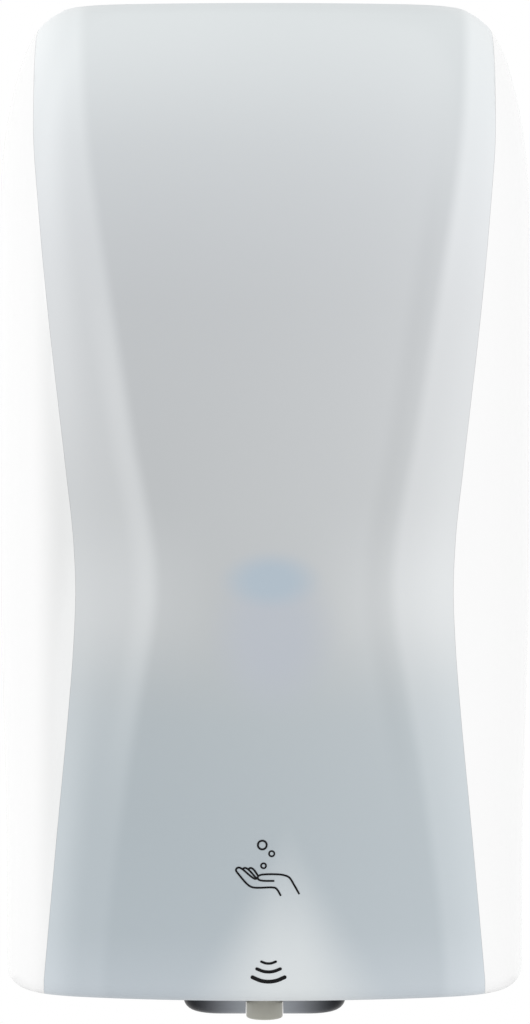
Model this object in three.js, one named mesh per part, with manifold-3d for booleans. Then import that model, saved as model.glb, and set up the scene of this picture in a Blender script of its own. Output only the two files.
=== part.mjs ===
// Wall-mounted touch-free foam soap dispenser, as an assembly of separate pieces.
// Lengths are millimetres and +Z is up. The wall is the plane y = 0, the dispenser stands out from it
// towards -Y, and the origin is the middle of the face that lies on the wall.
import * as THREE from "three";
import { mergeVertices } from "three/addons/utils/BufferGeometryUtils.js";
import Module from "manifold-3d";

const wasm = await Module();
wasm.setup();

// Driving dimensions
const clearance = 0.3;
const runningGap = 0.35;
const overrun = 20;
const shortOverrun = 2;
const mergeTolerance = 1e-3;

// What the body is drawn around: the battery box sets its width, the bottle its depth
const cell = { radius: 13, length: 49, capRadius: 3.4, cap: 1.5 };
const battery = {
  wall: 1.6,
  gap: 0.4,
  innerX: -20,
  backRoom: 11,
  contact: 0.6,
  door: 2,
  gripHalfX: 7,
  gripHeight: 6,
  gripDepth: 2,
};
battery.pitch = 2 * cell.radius + battery.gap;
battery.room = 2 * battery.pitch + battery.gap;
battery.lowX = battery.innerX - battery.room - 2 * battery.wall;

const chassis = {
  backY: -20,
  wall: 3,
  sideRoom: 12,
  topRoom: 68,
  shelfRise: 123.7,
  shelfWall: 4,
  shelfHalfWidth: 44,
  shelfFront: 24,
  floorRise: 19,
  floorSideRoom: 17,
  floorFront: 12,
  finHeight: 24,
  finReach: 46,
  cableDoorX: -12,
  cableDoorSetback: 34,
  cableDoor: 3.2,
  screwRadius: 1.6,
  screwHeadRadius: 3.2,
  screwHead: 1.8,
  screwDepth: 12,
};
chassis.frontY = chassis.backY - chassis.wall;

const bottle = {
  wall: 1.4,
  neckRadius: 16.2,
  neckForward: 6,
  collarRadius: 20,
  collarHeight: 18,
  lip: 3,
  grooves: 14,
  grooveRadius: 1.1,
  shoulder: 7,
  lowHalfX: 30,
  lowHalfY: 25,
  lowCorner: 16,
  topHalfX: 58,
  topHalfY: 40,
  topCorner: 20,
  backRoom: 19,
  topRoom: 34,
  crown: 14,
  crownInset: 11,
};
bottle.centreY = chassis.frontY - bottle.backRoom - bottle.topHalfY;
const pumpY = bottle.centreY - bottle.neckForward;

const body = {
  height: 320,
  wall: 2.5,
  straightSideDepth: 60,
  crown: 14,
  sideDraft: 1.5,
  sideRoom: 12.6,
  frontRoom: 18,
};
body.width = 2 * (body.sideRoom - battery.lowX);
body.depth = bottle.topHalfY - bottle.centreY + body.frontRoom;
const bottomZ = -body.height / 2;
const topZ = body.height / 2;

// Outer shape of the body, as shares of its sizes at heights from the bottom (0) to the top (1)
const halfWidthShares = [
  [0, 0.957], [0.004, 0.967], [0.012, 0.97], [0.06, 0.972], [0.14, 0.974], [0.22, 0.982],
  [0.3, 0.991], [0.37, 0.998], [0.42, 1], [0.74, 1], [0.81, 0.998], [0.863, 0.983],
  [0.905, 0.958], [0.943, 0.923], [0.963, 0.895], [0.981, 0.858], [0.993, 0.812], [1, 0.77],
];
const depthShares = [
  [0, 0.885], [0.005, 0.903], [0.014, 0.912], [0.06, 0.925], [0.2, 0.952], [0.4, 0.982],
  [0.6, 1], [0.8, 0.994], [0.92, 0.975], [0.975, 0.962], [0.992, 0.952], [1, 0.93],
];
const squarenessShares = [
  [0, 1.3], [0.08, 0.9], [0.2, 0.58], [0.41, 0.34], [0.6, 0.5], [0.8, 0.8], [1, 1],
];
const panelHalfWidthShares = [
  [0, 0.806], [0.15, 0.757], [0.3, 0.706], [0.36, 0.69], [0.412, 0.683], [0.46, 0.69],
  [0.53, 0.716], [0.7, 0.785], [0.8, 0.818], [0.88, 0.838], [1, 0.84],
];
const squarestExponent = 10;
const crownPoints = 8;

// A smooth curve through a table of [share of height, value], by monotone cubic pieces.
function along(table, share) {
  const t = Math.min(Math.max(share, table[0][0]), table[table.length - 1][0]);
  let i = 0;
  while (i < table.length - 2 && t > table[i + 1][0]) i += 1;
  const slope = (k) => (table[k + 1][1] - table[k][1]) / (table[k + 1][0] - table[k][0]);
  const tangent = (k) => {
    if (k === 0) return slope(0);
    if (k === table.length - 1) return slope(k - 1);
    const before = slope(k - 1);
    const after = slope(k);
    return before * after <= 0 ? 0 : (2 * before * after) / (before + after);
  };
  const span = table[i + 1][0] - table[i][0];
  const s = (t - table[i][0]) / span;
  const h = [2 * s ** 3 - 3 * s ** 2 + 1, s ** 3 - 2 * s ** 2 + s, -2 * s ** 3 + 3 * s ** 2, s ** 3 - s ** 2];
  return h[0] * table[i][1] + h[1] * span * tangent(i) + h[2] * table[i + 1][1] + h[3] * span * tangent(i + 1);
}

const heightShare = (z) => (z - bottomZ) / body.height;
const halfWidthAt = (z) => (body.width / 2) * along(halfWidthShares, heightShare(z));
const depthAt = (z) => body.depth * along(depthShares, heightShare(z));
const panelHalfWidthAt = (z) => (body.width / 2) * along(panelHalfWidthShares, heightShare(z));

// Distance of the front surface from the wall at a place on it.
function frontDepth(x, z, inset = 0) {
  const half = halfWidthAt(z) - inset;
  const exponent = squarestExponent * along(squarenessShares, heightShare(z));
  const across = Math.abs(x) / half;
  const reach = Math.max(0, 1 - across ** exponent);
  const crowned = depthAt(z) - inset - body.crown * across ** 2;
  return body.straightSideDepth + (crowned - body.straightSideDepth) * Math.sqrt(reach);
}

// Geometry helpers
function toSolid(geometry) {
  const bare = geometry.index ? geometry.toNonIndexed() : geometry.clone();
  const extras = Object.keys(bare.attributes).filter((name) => name !== "position");
  extras.forEach((name) => bare.deleteAttribute(name));
  const merged = mergeVertices(bare, mergeTolerance);
  return new wasm.Manifold(new wasm.Mesh({
    numProp: 3,
    vertProperties: merged.attributes.position.array,
    triVerts: new Uint32Array(merged.index.array),
  }));
}

function toGeometry(solid) {
  const mesh = solid.getMesh();
  const stride = mesh.numProp;
  const positions = new Float32Array(mesh.numVert * 3);
  for (let i = 0; i < mesh.numVert; i += 1) {
    positions.set(mesh.vertProperties.subarray(i * stride, i * stride + 3), i * 3);
  }
  const geometry = new THREE.BufferGeometry();
  geometry.setAttribute("position", new THREE.BufferAttribute(positions, 3));
  geometry.setIndex(new THREE.BufferAttribute(new Uint32Array(mesh.triVerts), 1));
  geometry.computeVertexNormals();
  return geometry;
}

const join = (...solids) => solids.reduce((a, b) => a.add(b));
const cut = (solid, ...cutters) => cutters.reduce((a, b) => a.subtract(b), solid);

// A box from its lowest to its highest corner.
function block(low, high) {
  const size = high.map((v, i) => v - low[i]);
  const geometry = new THREE.BoxGeometry(...size);
  geometry.translate(...high.map((v, i) => (v + low[i]) / 2));
  return toSolid(geometry);
}

// Turns geometry made along +Z so that it runs along the named axis.
const alongAxis = {
  x: new THREE.Matrix4().set(0, 0, 1, 0, 1, 0, 0, 0, 0, 1, 0, 0, 0, 0, 0, 1),
  y: new THREE.Matrix4().set(1, 0, 0, 0, 0, 0, 1, 0, 0, -1, 0, 0, 0, 0, 0, 1),
  z: new THREE.Matrix4(),
};

// A round bar along an axis, from and to being places on that axis.
function bar(axis, radius, from, to, centre, sides = 20) {
  const geometry = new THREE.CylinderGeometry(radius, radius, to - from, sides);
  geometry.rotateX(Math.PI / 2);
  geometry.applyMatrix4(alongAxis[axis]);
  const middle = (from + to) / 2;
  const places = { x: [middle, ...centre], y: [centre[0], middle, centre[1]], z: [...centre, middle] };
  geometry.translate(...places[axis]);
  return toSolid(geometry);
}

// A solid of revolution about a vertical axis, from [radius, z] points that start and end on it.
function turned(points, centre, sides = 24) {
  const geometry = new THREE.LatheGeometry(points.map(([r, z]) => new THREE.Vector2(r, z)), sides);
  geometry.rotateX(Math.PI / 2);
  geometry.translate(centre[0], centre[1], 0);
  const solid = toSolid(geometry);
  return solid.volume() < 0 ? toSolid(turnedInsideOut(geometry)) : solid;
}

function turnedInsideOut(geometry) {
  const flat = geometry.toNonIndexed();
  const place = flat.getAttribute("position");
  for (let i = 0; i < place.count; i += 3) {
    const [x, y, z] = [place.getX(i + 1), place.getY(i + 1), place.getZ(i + 1)];
    place.setXYZ(i + 1, place.getX(i + 2), place.getY(i + 2), place.getZ(i + 2));
    place.setXYZ(i + 2, x, y, z);
  }
  return flat;
}

// A flat outline in the x-z plane, given thickness from one depth to another.
function slab(points, fromY, toY, holes = []) {
  const shape = new THREE.Shape(points.map(([x, z]) => new THREE.Vector2(x, z)));
  holes.forEach((hole) => shape.holes.push(new THREE.Path(hole.map(([x, z]) => new THREE.Vector2(x, z)))));
  const geometry = new THREE.ExtrudeGeometry(shape, { depth: toY - fromY, bevelEnabled: false });
  geometry.rotateX(Math.PI / 2);
  geometry.translate(0, toY, 0);
  return toSolid(geometry);
}

// A flat outline in the x-y plane, given thickness from one height to another.
function deck(points, fromZ, toZ) {
  const shape = new THREE.Shape(points.map(([x, y]) => new THREE.Vector2(x, y)));
  const geometry = new THREE.ExtrudeGeometry(shape, { depth: toZ - fromZ, bevelEnabled: false });
  geometry.translate(0, 0, fromZ);
  return toSolid(geometry);
}

// A closed solid through level rings that all have the same number of points, lowest ring first.
function loft(rings) {
  const count = rings[0].length;
  const positions = rings.flat(2);
  const index = [];
  for (let r = 0; r < rings.length - 1; r += 1) {
    for (let i = 0; i < count; i += 1) {
      const a = r * count + i;
      const b = r * count + ((i + 1) % count);
      index.push(a, b, b + count, a, b + count, a + count);
    }
  }
  const capOf = (ring) => THREE.ShapeUtils.triangulateShape(ring.map(([x, y]) => new THREE.Vector2(x, y)), []);
  const lastRing = (rings.length - 1) * count;
  capOf(rings[0]).forEach(([a, b, c]) => index.push(a, c, b));
  capOf(rings[rings.length - 1]).forEach(([a, b, c]) => index.push(lastRing + a, lastRing + b, lastRing + c));
  const geometry = new THREE.BufferGeometry();
  geometry.setAttribute("position", new THREE.BufferAttribute(new Float32Array(positions), 3));
  geometry.setIndex(index);
  return toSolid(geometry);
}

// A ring of a rectangle with round corners at one height, anticlockwise from above.
function roundedRing(halfX, halfY, radius, z, centre, cornerPoints = 4) {
  const ring = [];
  const corners = [[1, 1], [-1, 1], [-1, -1], [1, -1]];
  corners.forEach(([sx, sy], quarter) => {
    for (let i = 0; i <= cornerPoints; i += 1) {
      const angle = ((quarter + i / cornerPoints) * Math.PI) / 2;
      ring.push([
        centre[0] + sx * (halfX - radius) + radius * Math.cos(angle),
        centre[1] + sy * (halfY - radius) + radius * Math.sin(angle),
        z,
      ]);
    }
  });
  return ring;
}

// A six-sided tube along a smooth path through points.
function wire(points, radius, steps) {
  const section = new THREE.Shape();
  section.absarc(0, 0, radius, 0, 2 * Math.PI);
  const path = new THREE.CatmullRomCurve3(points.map((p) => new THREE.Vector3(...p)), false, "centripetal");
  const geometry = new THREE.ExtrudeGeometry(section, { steps, extrudePath: path, curveSegments: 3 });
  return toSolid(geometry);
}

// A coil spring about a vertical axis, as one tube whose ends run straight towards what they press on.
function coilSpring(name, { coilRadius, wireRadius, turns, low, high, centre }) {
  const stepsPerTurn = 8;
  const sides = 5;
  const straight = 2 * wireRadius;
  const path = [];
  const windings = turns * stepsPerTurn;
  const bottom = low + straight;
  const rise = high - low - 2 * straight;
  for (let i = 0; i <= windings; i += 1) {
    const angle = (2 * Math.PI * i) / stepsPerTurn;
    path.push([coilRadius * Math.cos(angle), coilRadius * Math.sin(angle), bottom + (rise * i) / windings]);
  }
  const [first, last] = [path[0], path[path.length - 1]];
  path.unshift([first[0], first[1], low]);
  path.push([last[0], last[1], high]);
  const points = path.map((p) => new THREE.Vector3(p[0] + centre[0], p[1] + centre[1], p[2]));
  const rings = points.map((point, i) => {
    const next = points[Math.min(i + 1, points.length - 1)];
    const ahead = next.clone().sub(points[Math.max(i - 1, 0)]).normalize();
    const out = new THREE.Vector3(point.x - centre[0], point.y - centre[1], 0).normalize();
    const end = i === 0 || i === points.length - 1;
    const tangent = end ? new THREE.Vector3(0, 0, 1) : ahead;
    const side = new THREE.Vector3().crossVectors(tangent, out).normalize();
    const up = new THREE.Vector3().crossVectors(side, tangent).normalize();
    return Array.from({ length: sides }, (_, k) => {
      const angle = (2 * Math.PI * k) / sides;
      return point.clone().addScaledVector(up, wireRadius * Math.cos(angle))
        .addScaledVector(side, wireRadius * Math.sin(angle)).toArray();
    });
  });
  const positions = rings.flat(2);
  const index = [];
  for (let r = 0; r < rings.length - 1; r += 1) {
    for (let k = 0; k < sides; k += 1) {
      const a = r * sides + k;
      const b = r * sides + ((k + 1) % sides);
      index.push(a, b, b + sides, a, b + sides, a + sides);
    }
  }
  const lastRing = (rings.length - 1) * sides;
  for (let k = 1; k < sides - 1; k += 1) {
    index.push(0, k + 1, k, lastRing, lastRing + k, lastRing + k + 1);
  }
  const geometry = new THREE.BufferGeometry();
  geometry.setAttribute("position", new THREE.BufferAttribute(new Float32Array(positions), 3));
  geometry.setIndex(index);
  let least = Infinity;
  points.forEach((p, i) => points.slice(i + stepsPerTurn / 2).forEach((q) => {
    least = Math.min(least, p.distanceTo(q) - 2 * wireRadius);
  }));
  console.log(`${name}: least gap between turns ${least.toFixed(2)} mm`);
  const solid = toSolid(geometry);
  return solid.volume() < 0 ? toSolid(turnedInsideOut(geometry)) : solid;
}

// Materials
const finish = (color, roughness, metalness = 0) => new THREE.MeshStandardMaterial({
  color, roughness, metalness,
});
const materials = {
  whiteShell: finish(0xf4f5f5, 0.25),
  frostedPanel: finish(0xc3c8cc, 0.35),
  greyPlastic: finish(0x8d9296, 0.5),
  darkPlastic: finish(0x33363a, 0.45),
  satinMetal: finish(0x6e7276, 0.25, 0.9),
  steel: finish(0xb4b7ba, 0.3, 1),
  bluePlastic: finish(0x3f86c0, 0.35),
  bottlePlastic: finish(0xdde3e6, 0.3),
  whitePlastic: finish(0xe8e6df, 0.4),
  nozzlePlastic: finish(0xc9c8be, 0.4),
  gearPlastic: finish(0xe9e4d2, 0.45),
  circuitBoard: finish(0x1e5b3a, 0.4),
  darkLens: finish(0x15161a, 0.1),
  lightPipe: finish(0xd8ecff, 0.1),
  rubber: finish(0x2a2b2d, 0.7),
  cellSleeve: finish(0x2f5f8c, 0.3, 0.3),
  cable: finish(0x3a3c40, 0.5),
};

const dispenser = new THREE.Group();
function piece(name, solid, material) {
  const mesh = new THREE.Mesh(toGeometry(solid), material);
  mesh.name = name;
  dispenser.add(mesh);
}

// Body shape as a solid, taken in by an inset on every outer face
const levelShares = [
  0, 0.004, 0.012, 0.06, 0.16, 0.25, 0.33, 0.4, 0.47, 0.55, 0.65, 0.75, 0.83,
  0.87, 0.905, 0.93, 0.95, 0.967, 0.981, 0.993, 1,
];
function bodyRing(z, inset, backY) {
  const half = halfWidthAt(z) - inset;
  const ring = [[half - body.sideDraft, backY, z]];
  const front = [];
  for (let i = crownPoints; i >= -crownPoints; i -= 1) {
    const x = half * Math.sin((Math.PI / 2) * (i / crownPoints));
    front.push([x, -frontDepth(x, z, inset), z]);
  }
  return ring.concat(front, [[-half + body.sideDraft, backY, z]]).reverse();
}
function bodySolid(inset, backY) {
  const lowest = bottomZ + inset;
  const highest = topZ - inset;
  const rings = levelShares.map((share) => bodyRing(lowest + share * (highest - lowest), inset, backY));
  return loft(rings);
}

// Wall plate: the rear half of the casing, a shallow tray whose open side faces the room
const wallPlate = {
  rim: 18,
  floor: 3,
  footRelief: 5.5,
  pad: 20,
  padHighRoom: 94,
  padLowRise: 68,
  slotRadius: 2.4,
  slotEntryRadius: 4.8,
  slotSpacingX: 100,
  slotHighRoom: 68,
  slotLowRise: 76,
  slotRise: 8,
};
wallPlate.padHighZ = topZ - wallPlate.padHighRoom;
wallPlate.padLowZ = bottomZ + wallPlate.padLowRise;
wallPlate.slotHighZ = topZ - wallPlate.slotHighRoom;
wallPlate.slotLowZ = bottomZ + wallPlate.slotLowRise;

// Cover hinge, along the lower rear edge of the cover
const hinge = {
  y: -wallPlate.rim,
  rise: 4,
  pinRadius: 1.5,
  pinLength: 14,
  lugRadius: 3.4,
  earRadius: 3.4,
  lugWidth: 6,
  earWidth: 6,
  sideRoom: 27,
  armReach: 9,
};
hinge.spacing = body.width - 2 * hinge.sideRoom;
hinge.z = bottomZ + hinge.rise;

const cover = {
  rearY: -(wallPlate.rim + clearance),
  panelWall: 2,
  ledgeWall: 1.7,
  ledgeReach: 6,
  ledgeRoot: 4,
  ledgeSink: 0.25,
  seam: 0.15,
  returnSetback: 4,
};

// Bottom tray, the metal-look nose that frames the nozzle under the cover
const tray = {
  width: 53,
  front: 24,
  setback: 38,
  wall: 2,
  drop: 7,
  cornerRadius: 12,
  edgeRadius: 4,
  edgeSteps: 4,
  cornerPoints: 5,
  slotWidth: 15,
  doorway: 4,
};
tray.frontY = pumpY - tray.front;
tray.backY = pumpY + tray.setback;
tray.centreY = (tray.frontY + tray.backY) / 2;
tray.lowZ = bottomZ - tray.drop;

// Places in the body of the chassis, the inner carrier that everything is screwed to, and of the bottle
chassis.halfWidth = body.width / 2 - chassis.sideRoom;
chassis.topZ = topZ - chassis.topRoom;
chassis.shelfTop = bottomZ + chassis.shelfRise;
chassis.shelfFrontY = pumpY - chassis.shelfFront;
chassis.floorTop = bottomZ + chassis.floorRise;
chassis.floorHalfWidth = body.width / 2 - chassis.floorSideRoom;
chassis.floorFrontY = pumpY - chassis.floorFront;
chassis.cableDoorY = pumpY + chassis.cableDoorSetback;
chassis.shelfLow = chassis.shelfTop - chassis.shelfWall;
chassis.floorLow = chassis.floorTop - chassis.wall;
bottle.topZ = topZ - bottle.topRoom;
bottle.collarLow = chassis.shelfTop + clearance;
bottle.collarHigh = bottle.collarLow + bottle.collarHeight;
bottle.lowZ = bottle.collarHigh + clearance;

const pump = {
  radius: 15,
  bore: 11.6,
  rise: 76,
  floor: 2.5,
  ceiling: 7.3,
  flangeHeight: 3,
  gasketHeight: 1.6,
  gasketBore: 11,
  inletRadius: 2.2,
  valveStemRadius: 1.5,
  valveRadius: 6,
  valveHeight: 1,
  valveLift: 6,
  stemRadius: 6,
  channelRadius: 2.2,
  pistonRadius: 10.6,
  pistonLand: 2,
  sealHeight: 2.4,
  sealGroove: 1.6,
  sealReach: 0.7,
  collarRadius: 10.5,
  collarHeight: 3,
  springRadius: 8.6,
  springWire: 0.6,
  springTurns: 7,
};
pump.lowZ = bottomZ + pump.rise;
pump.flangeLow = bottle.collarLow + bottle.lip + clearance;
pump.flangeHigh = pump.flangeLow + pump.flangeHeight;
pump.gasketLow = pump.flangeHigh + clearance;
pump.neckLow = pump.gasketLow + pump.gasketHeight + clearance;
pump.ceilingZ = pump.flangeLow - pump.ceiling;
pump.pistonLow = pump.lowZ + pump.floor + 2 * clearance;
pump.grooveHeight = pump.sealHeight + 2 * clearance;
pump.pistonHigh = pump.pistonLow + 2 * pump.pistonLand + pump.grooveHeight;

const nozzle = {
  radius: 6,
  outletRadius: 3.2,
  spigotRadius: 3.8,
  spigotLength: 8,
  drop: 12,
  length: 34,
  tipRound: 2,
  rim: 0.6,
};
nozzle.tipZ = bottomZ - nozzle.drop;
nozzle.topZ = nozzle.tipZ + nozzle.length;

const lift = {
  plate: 4,
  rise: 55.6,
  halfWidth: 18,
  front: 16,
  setback: 25,
  rackPitchX: 27,
  rackBack: 4,
  rackDrop: 19.6,
  rackReach: 16.4,
  rodRadius: 2,
  rodX: 13,
  rodSetback: 20,
};
lift.topZ = bottomZ + lift.rise;
lift.frontY = pumpY - lift.front;
lift.backY = pumpY + lift.setback;
lift.rackLow = lift.topZ - lift.rackDrop;
lift.rackHigh = lift.topZ + lift.rackReach;
lift.rodY = pumpY + lift.rodSetback;

// Gear train: the motor pinion drives two stepped gears and the output gear, whose pinion lifts the rack
const gearTrain = {
  rackModule: 1,
  rackTeeth: 18,
  outputModule: 0.8,
  fineModule: 0.6,
  wheelTeeth: 40,
  pinionTeeth: 12,
  motorTeeth: 10,
  outputRise: 60,
  rackLayer: 7,
  layer: 4.4,
  layerGap: 0.9,
  front: 12.6,
  axleRadius: 1.5,
  hubRadius: 2.6,
  rootShare: 0.62,
  tipShare: 0.22,
  addendumShare: 0.9,
  dedendumShare: 1.2,
  secondTurnShare: 75 / 360,
  firstTurnShare: 30 / 360,
  motorTurnShare: -80 / 360,
};
gearTrain.outputZ = bottomZ + gearTrain.outputRise;
gearTrain.frontY = pumpY - gearTrain.front;

const gearbox = {
  plate: 2.6,
  wall: 2,
  lowX: 31,
  highX: 71,
  rise: 39,
  height: 65,
  legWidth: 7,
  legDepth: 14,
  legInset: 2,
  screwInset: 4.5,
  postRadius: 3.6,
  screwRadius: 1.6,
  screwHeadRadius: 3,
  screwHead: 1.6,
  screwReach: 5,
};
gearbox.lowZ = bottomZ + gearbox.rise;
gearbox.highZ = gearbox.lowZ + gearbox.height;

const motor = {
  radius: 10,
  flatHalf: 7.8,
  length: 25,
  endCap: 5,
  endCapInset: 1,
  shaftRadius: 1,
  shaftDepth: 6,
  bossRadius: 3.2,
  boss: 1.4,
};

battery.backY = chassis.frontY - battery.backRoom;
battery.frontY = battery.backY - battery.wall - battery.room;

const control = {
  innerX: -24,
  sideRoom: 8,
  height: 25,
  front: 16,
  depth: 9,
  wall: 1.8,
  topGap: 3,
  leg: 6,
  boardThickness: 1.6,
  boardSink: 0.4,
  pitch: 13,
  buttonRadius: 4,
  buttonStand: 2.2,
  buttonFlange: 1.4,
  buttonFlangeReach: 1.2,
  knobHalfX: 2,
  knobHalfZ: 1.8,
  knobTravel: 3,
  knobStand: 1.6,
  knobBase: 1.4,
  knobBaseReach: 1.2,
  lightRadius: 2,
};
control.frontY = pumpY - control.front;
control.width = 2 * (control.pitch + control.sideRoom);

const sensor = {
  boardHalfX: 19,
  boardHalfY: 9,
  boardThickness: 1.6,
  boardRise: 9,
  setback: 25,
  postX: 16,
  postRadius: 2,
  diodeRadius: 2.5,
  diodeLength: 7,
  diodeTip: 0.7,
  diodeTipRadius: 1.75,
  diodeDome: 2.45,
  diodeX: 5.5,
  windowHalfX: 10,
  windowHalfY: 4,
  windowRecess: 0.4,
  flangeReach: 2,
  flange: 1.4,
};
sensor.boardLow = bottomZ + sensor.boardRise;
sensor.y = pumpY + sensor.setback;

const latch = {
  housingHalfX: 14,
  housingHeight: 24,
  topRoom: 14,
  housingFront: 11.4,
  housingWall: 2.2,
  boltFront: 6.6,
  footHalfX: 8,
  footHalfY: 4.1,
  foot: 2.4,
  noseHalfX: 5,
  noseHalfY: 2.6,
  nose: 5.4,
  noseRamp: 2.4,
  coverPlate: 2.2,
  springRadius: 3.2,
  springWire: 0.5,
  springTurns: 4,
  catchWall: 2,
  catchHalfX: 9,
  catchDrop: 8.6,
  keySlotHalfX: 8,
  keySlotHalfY: 2.8,
};
latch.housingHigh = topZ - latch.topRoom;
latch.housingLow = latch.housingHigh - latch.housingHeight;
latch.housingFrontY = -(wallPlate.rim + latch.housingFront);
latch.boltY = -(wallPlate.rim + latch.boltFront);

const cables = {
  motorRadius: 1.2,
  sensorRadius: 1,
  motorSteps: 22,
  sensorSteps: 24,
};

// Wall plate
{
  const outer = bodySolid(0, 0);
  const behindParting = block(
    [-body.width, -wallPlate.rim, bottomZ - overrun],
    [body.width, overrun, topZ + overrun],
  );
  const hollow = bodySolid(body.wall, -wallPlate.floor);
  const footRelief = block(
    [-body.width, -wallPlate.rim - overrun, bottomZ - overrun],
    [body.width, -wallPlate.rim + wallPlate.footRelief, hinge.z + hinge.lugRadius + clearance],
  );
  let plate = cut(outer.intersect(behindParting), hollow, footRelief);

  // Pads that carry the chassis, bored for its screws
  const padX = chassis.halfWidth - wallPlate.pad / 2;
  for (const x of [-padX, padX]) {
    for (const z of [wallPlate.padLowZ, wallPlate.padHighZ]) {
      const pad = block(
        [x - wallPlate.pad / 2, chassis.backY + clearance, z - wallPlate.pad / 2],
        [x + wallPlate.pad / 2, -wallPlate.floor / 2, z + wallPlate.pad / 2],
      );
      plate = cut(join(plate, pad), bar("y", chassis.screwRadius + clearance, chassis.backY - overrun,
        chassis.frontY + chassis.screwDepth + 2 * clearance, [x, z], 12));
    }
  }

  // Keyhole slots for the wall's own screws
  for (const x of [-wallPlate.slotSpacingX / 2, wallPlate.slotSpacingX / 2]) {
    for (const z of [wallPlate.slotLowZ, wallPlate.slotHighZ]) {
      const raised = z + wallPlate.slotRise;
      plate = cut(
        plate,
        bar("y", wallPlate.slotEntryRadius, -overrun, overrun, [x, z], 16),
        bar("y", wallPlate.slotRadius, -overrun, overrun, [x, raised], 12),
        block([x - wallPlate.slotRadius, -overrun, z], [x + wallPlate.slotRadius, overrun, raised]),
      );
    }
  }

  // Latch housing, open towards the room for the bolt and its spring
  const latchBox = block(
    [-latch.housingHalfX, latch.housingFrontY, latch.housingLow],
    [latch.housingHalfX, -wallPlate.floor / 2, latch.housingHigh],
  );
  const boltRoom = block(
    [
      -latch.footHalfX - runningGap,
      -overrun - wallPlate.rim,
      latch.housingLow + latch.housingWall,
    ],
    [
      latch.footHalfX + runningGap,
      latch.boltY + latch.footHalfY + runningGap,
      latch.housingHigh - latch.housingWall,
    ],
  );
  const noseRoom = block(
    [-latch.noseHalfX - runningGap, -overrun - wallPlate.rim, latch.housingLow + latch.housingWall],
    [latch.noseHalfX + runningGap, latch.boltY + latch.noseHalfY + runningGap, topZ],
  );
  plate = join(plate, cut(latchBox, boltRoom, noseRoom));

  // Hinge lugs, bored for the pins
  for (const side of [-1, 1]) {
    const inner = side * (hinge.spacing / 2);
    const outerX = side * (hinge.spacing / 2 + hinge.lugWidth);
    const [x0, x1] = [Math.min(inner, outerX), Math.max(inner, outerX)];
    const lug = join(
      bar("x", hinge.lugRadius, x0, x1, [hinge.y, hinge.z], 16),
      block([x0, hinge.y, hinge.z - hinge.lugRadius], [x1, -wallPlate.floor, hinge.z + hinge.lugRadius]),
    );
    plate = join(plate, lug);
    plate = cut(plate, bar("x", hinge.pinRadius + clearance, x0 - shortOverrun, x1 + shortOverrun,
      [hinge.y, hinge.z], 16));
  }
  piece("wall_plate", plate, materials.whiteShell);
}

// Hinge pins
for (const [name, side] of [["hinge_pin_left", -1], ["hinge_pin_right", 1]]) {
  const middle = side * (hinge.spacing / 2);
  piece(name, bar("x", hinge.pinRadius, middle - hinge.pinLength / 2, middle + hinge.pinLength / 2,
    [hinge.y, hinge.z], 16), materials.steel);
}

// Outline of the window panel in the x-z plane, grown by an outset and running past top and bottom
function panelOutline(outset, endReach) {
  const right = [];
  const steps = 24;
  for (let i = 0; i <= steps; i += 1) {
    const z = bottomZ + (body.height * i) / steps;
    right.push([panelHalfWidthAt(z) + outset, z]);
  }
  const first = right[0];
  const last = right[right.length - 1];
  const full = [[first[0], first[1] - endReach], ...right.slice(1, -1), [last[0], last[1] + endReach]];
  return full.concat(full.map(([x, z]) => [-x, z]).reverse());
}

// Tray cut-out through the bottom of the cover and its panel
const trayDoor = deck(
  roundedRing(
    tray.width / 2 + tray.doorway,
    (tray.backY - tray.frontY) / 2 + tray.doorway,
    tray.cornerRadius + tray.doorway,
    0,
    [0, tray.centreY],
  ),
  bottomZ - overrun,
  bottomZ + overrun / 2,
);

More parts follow.
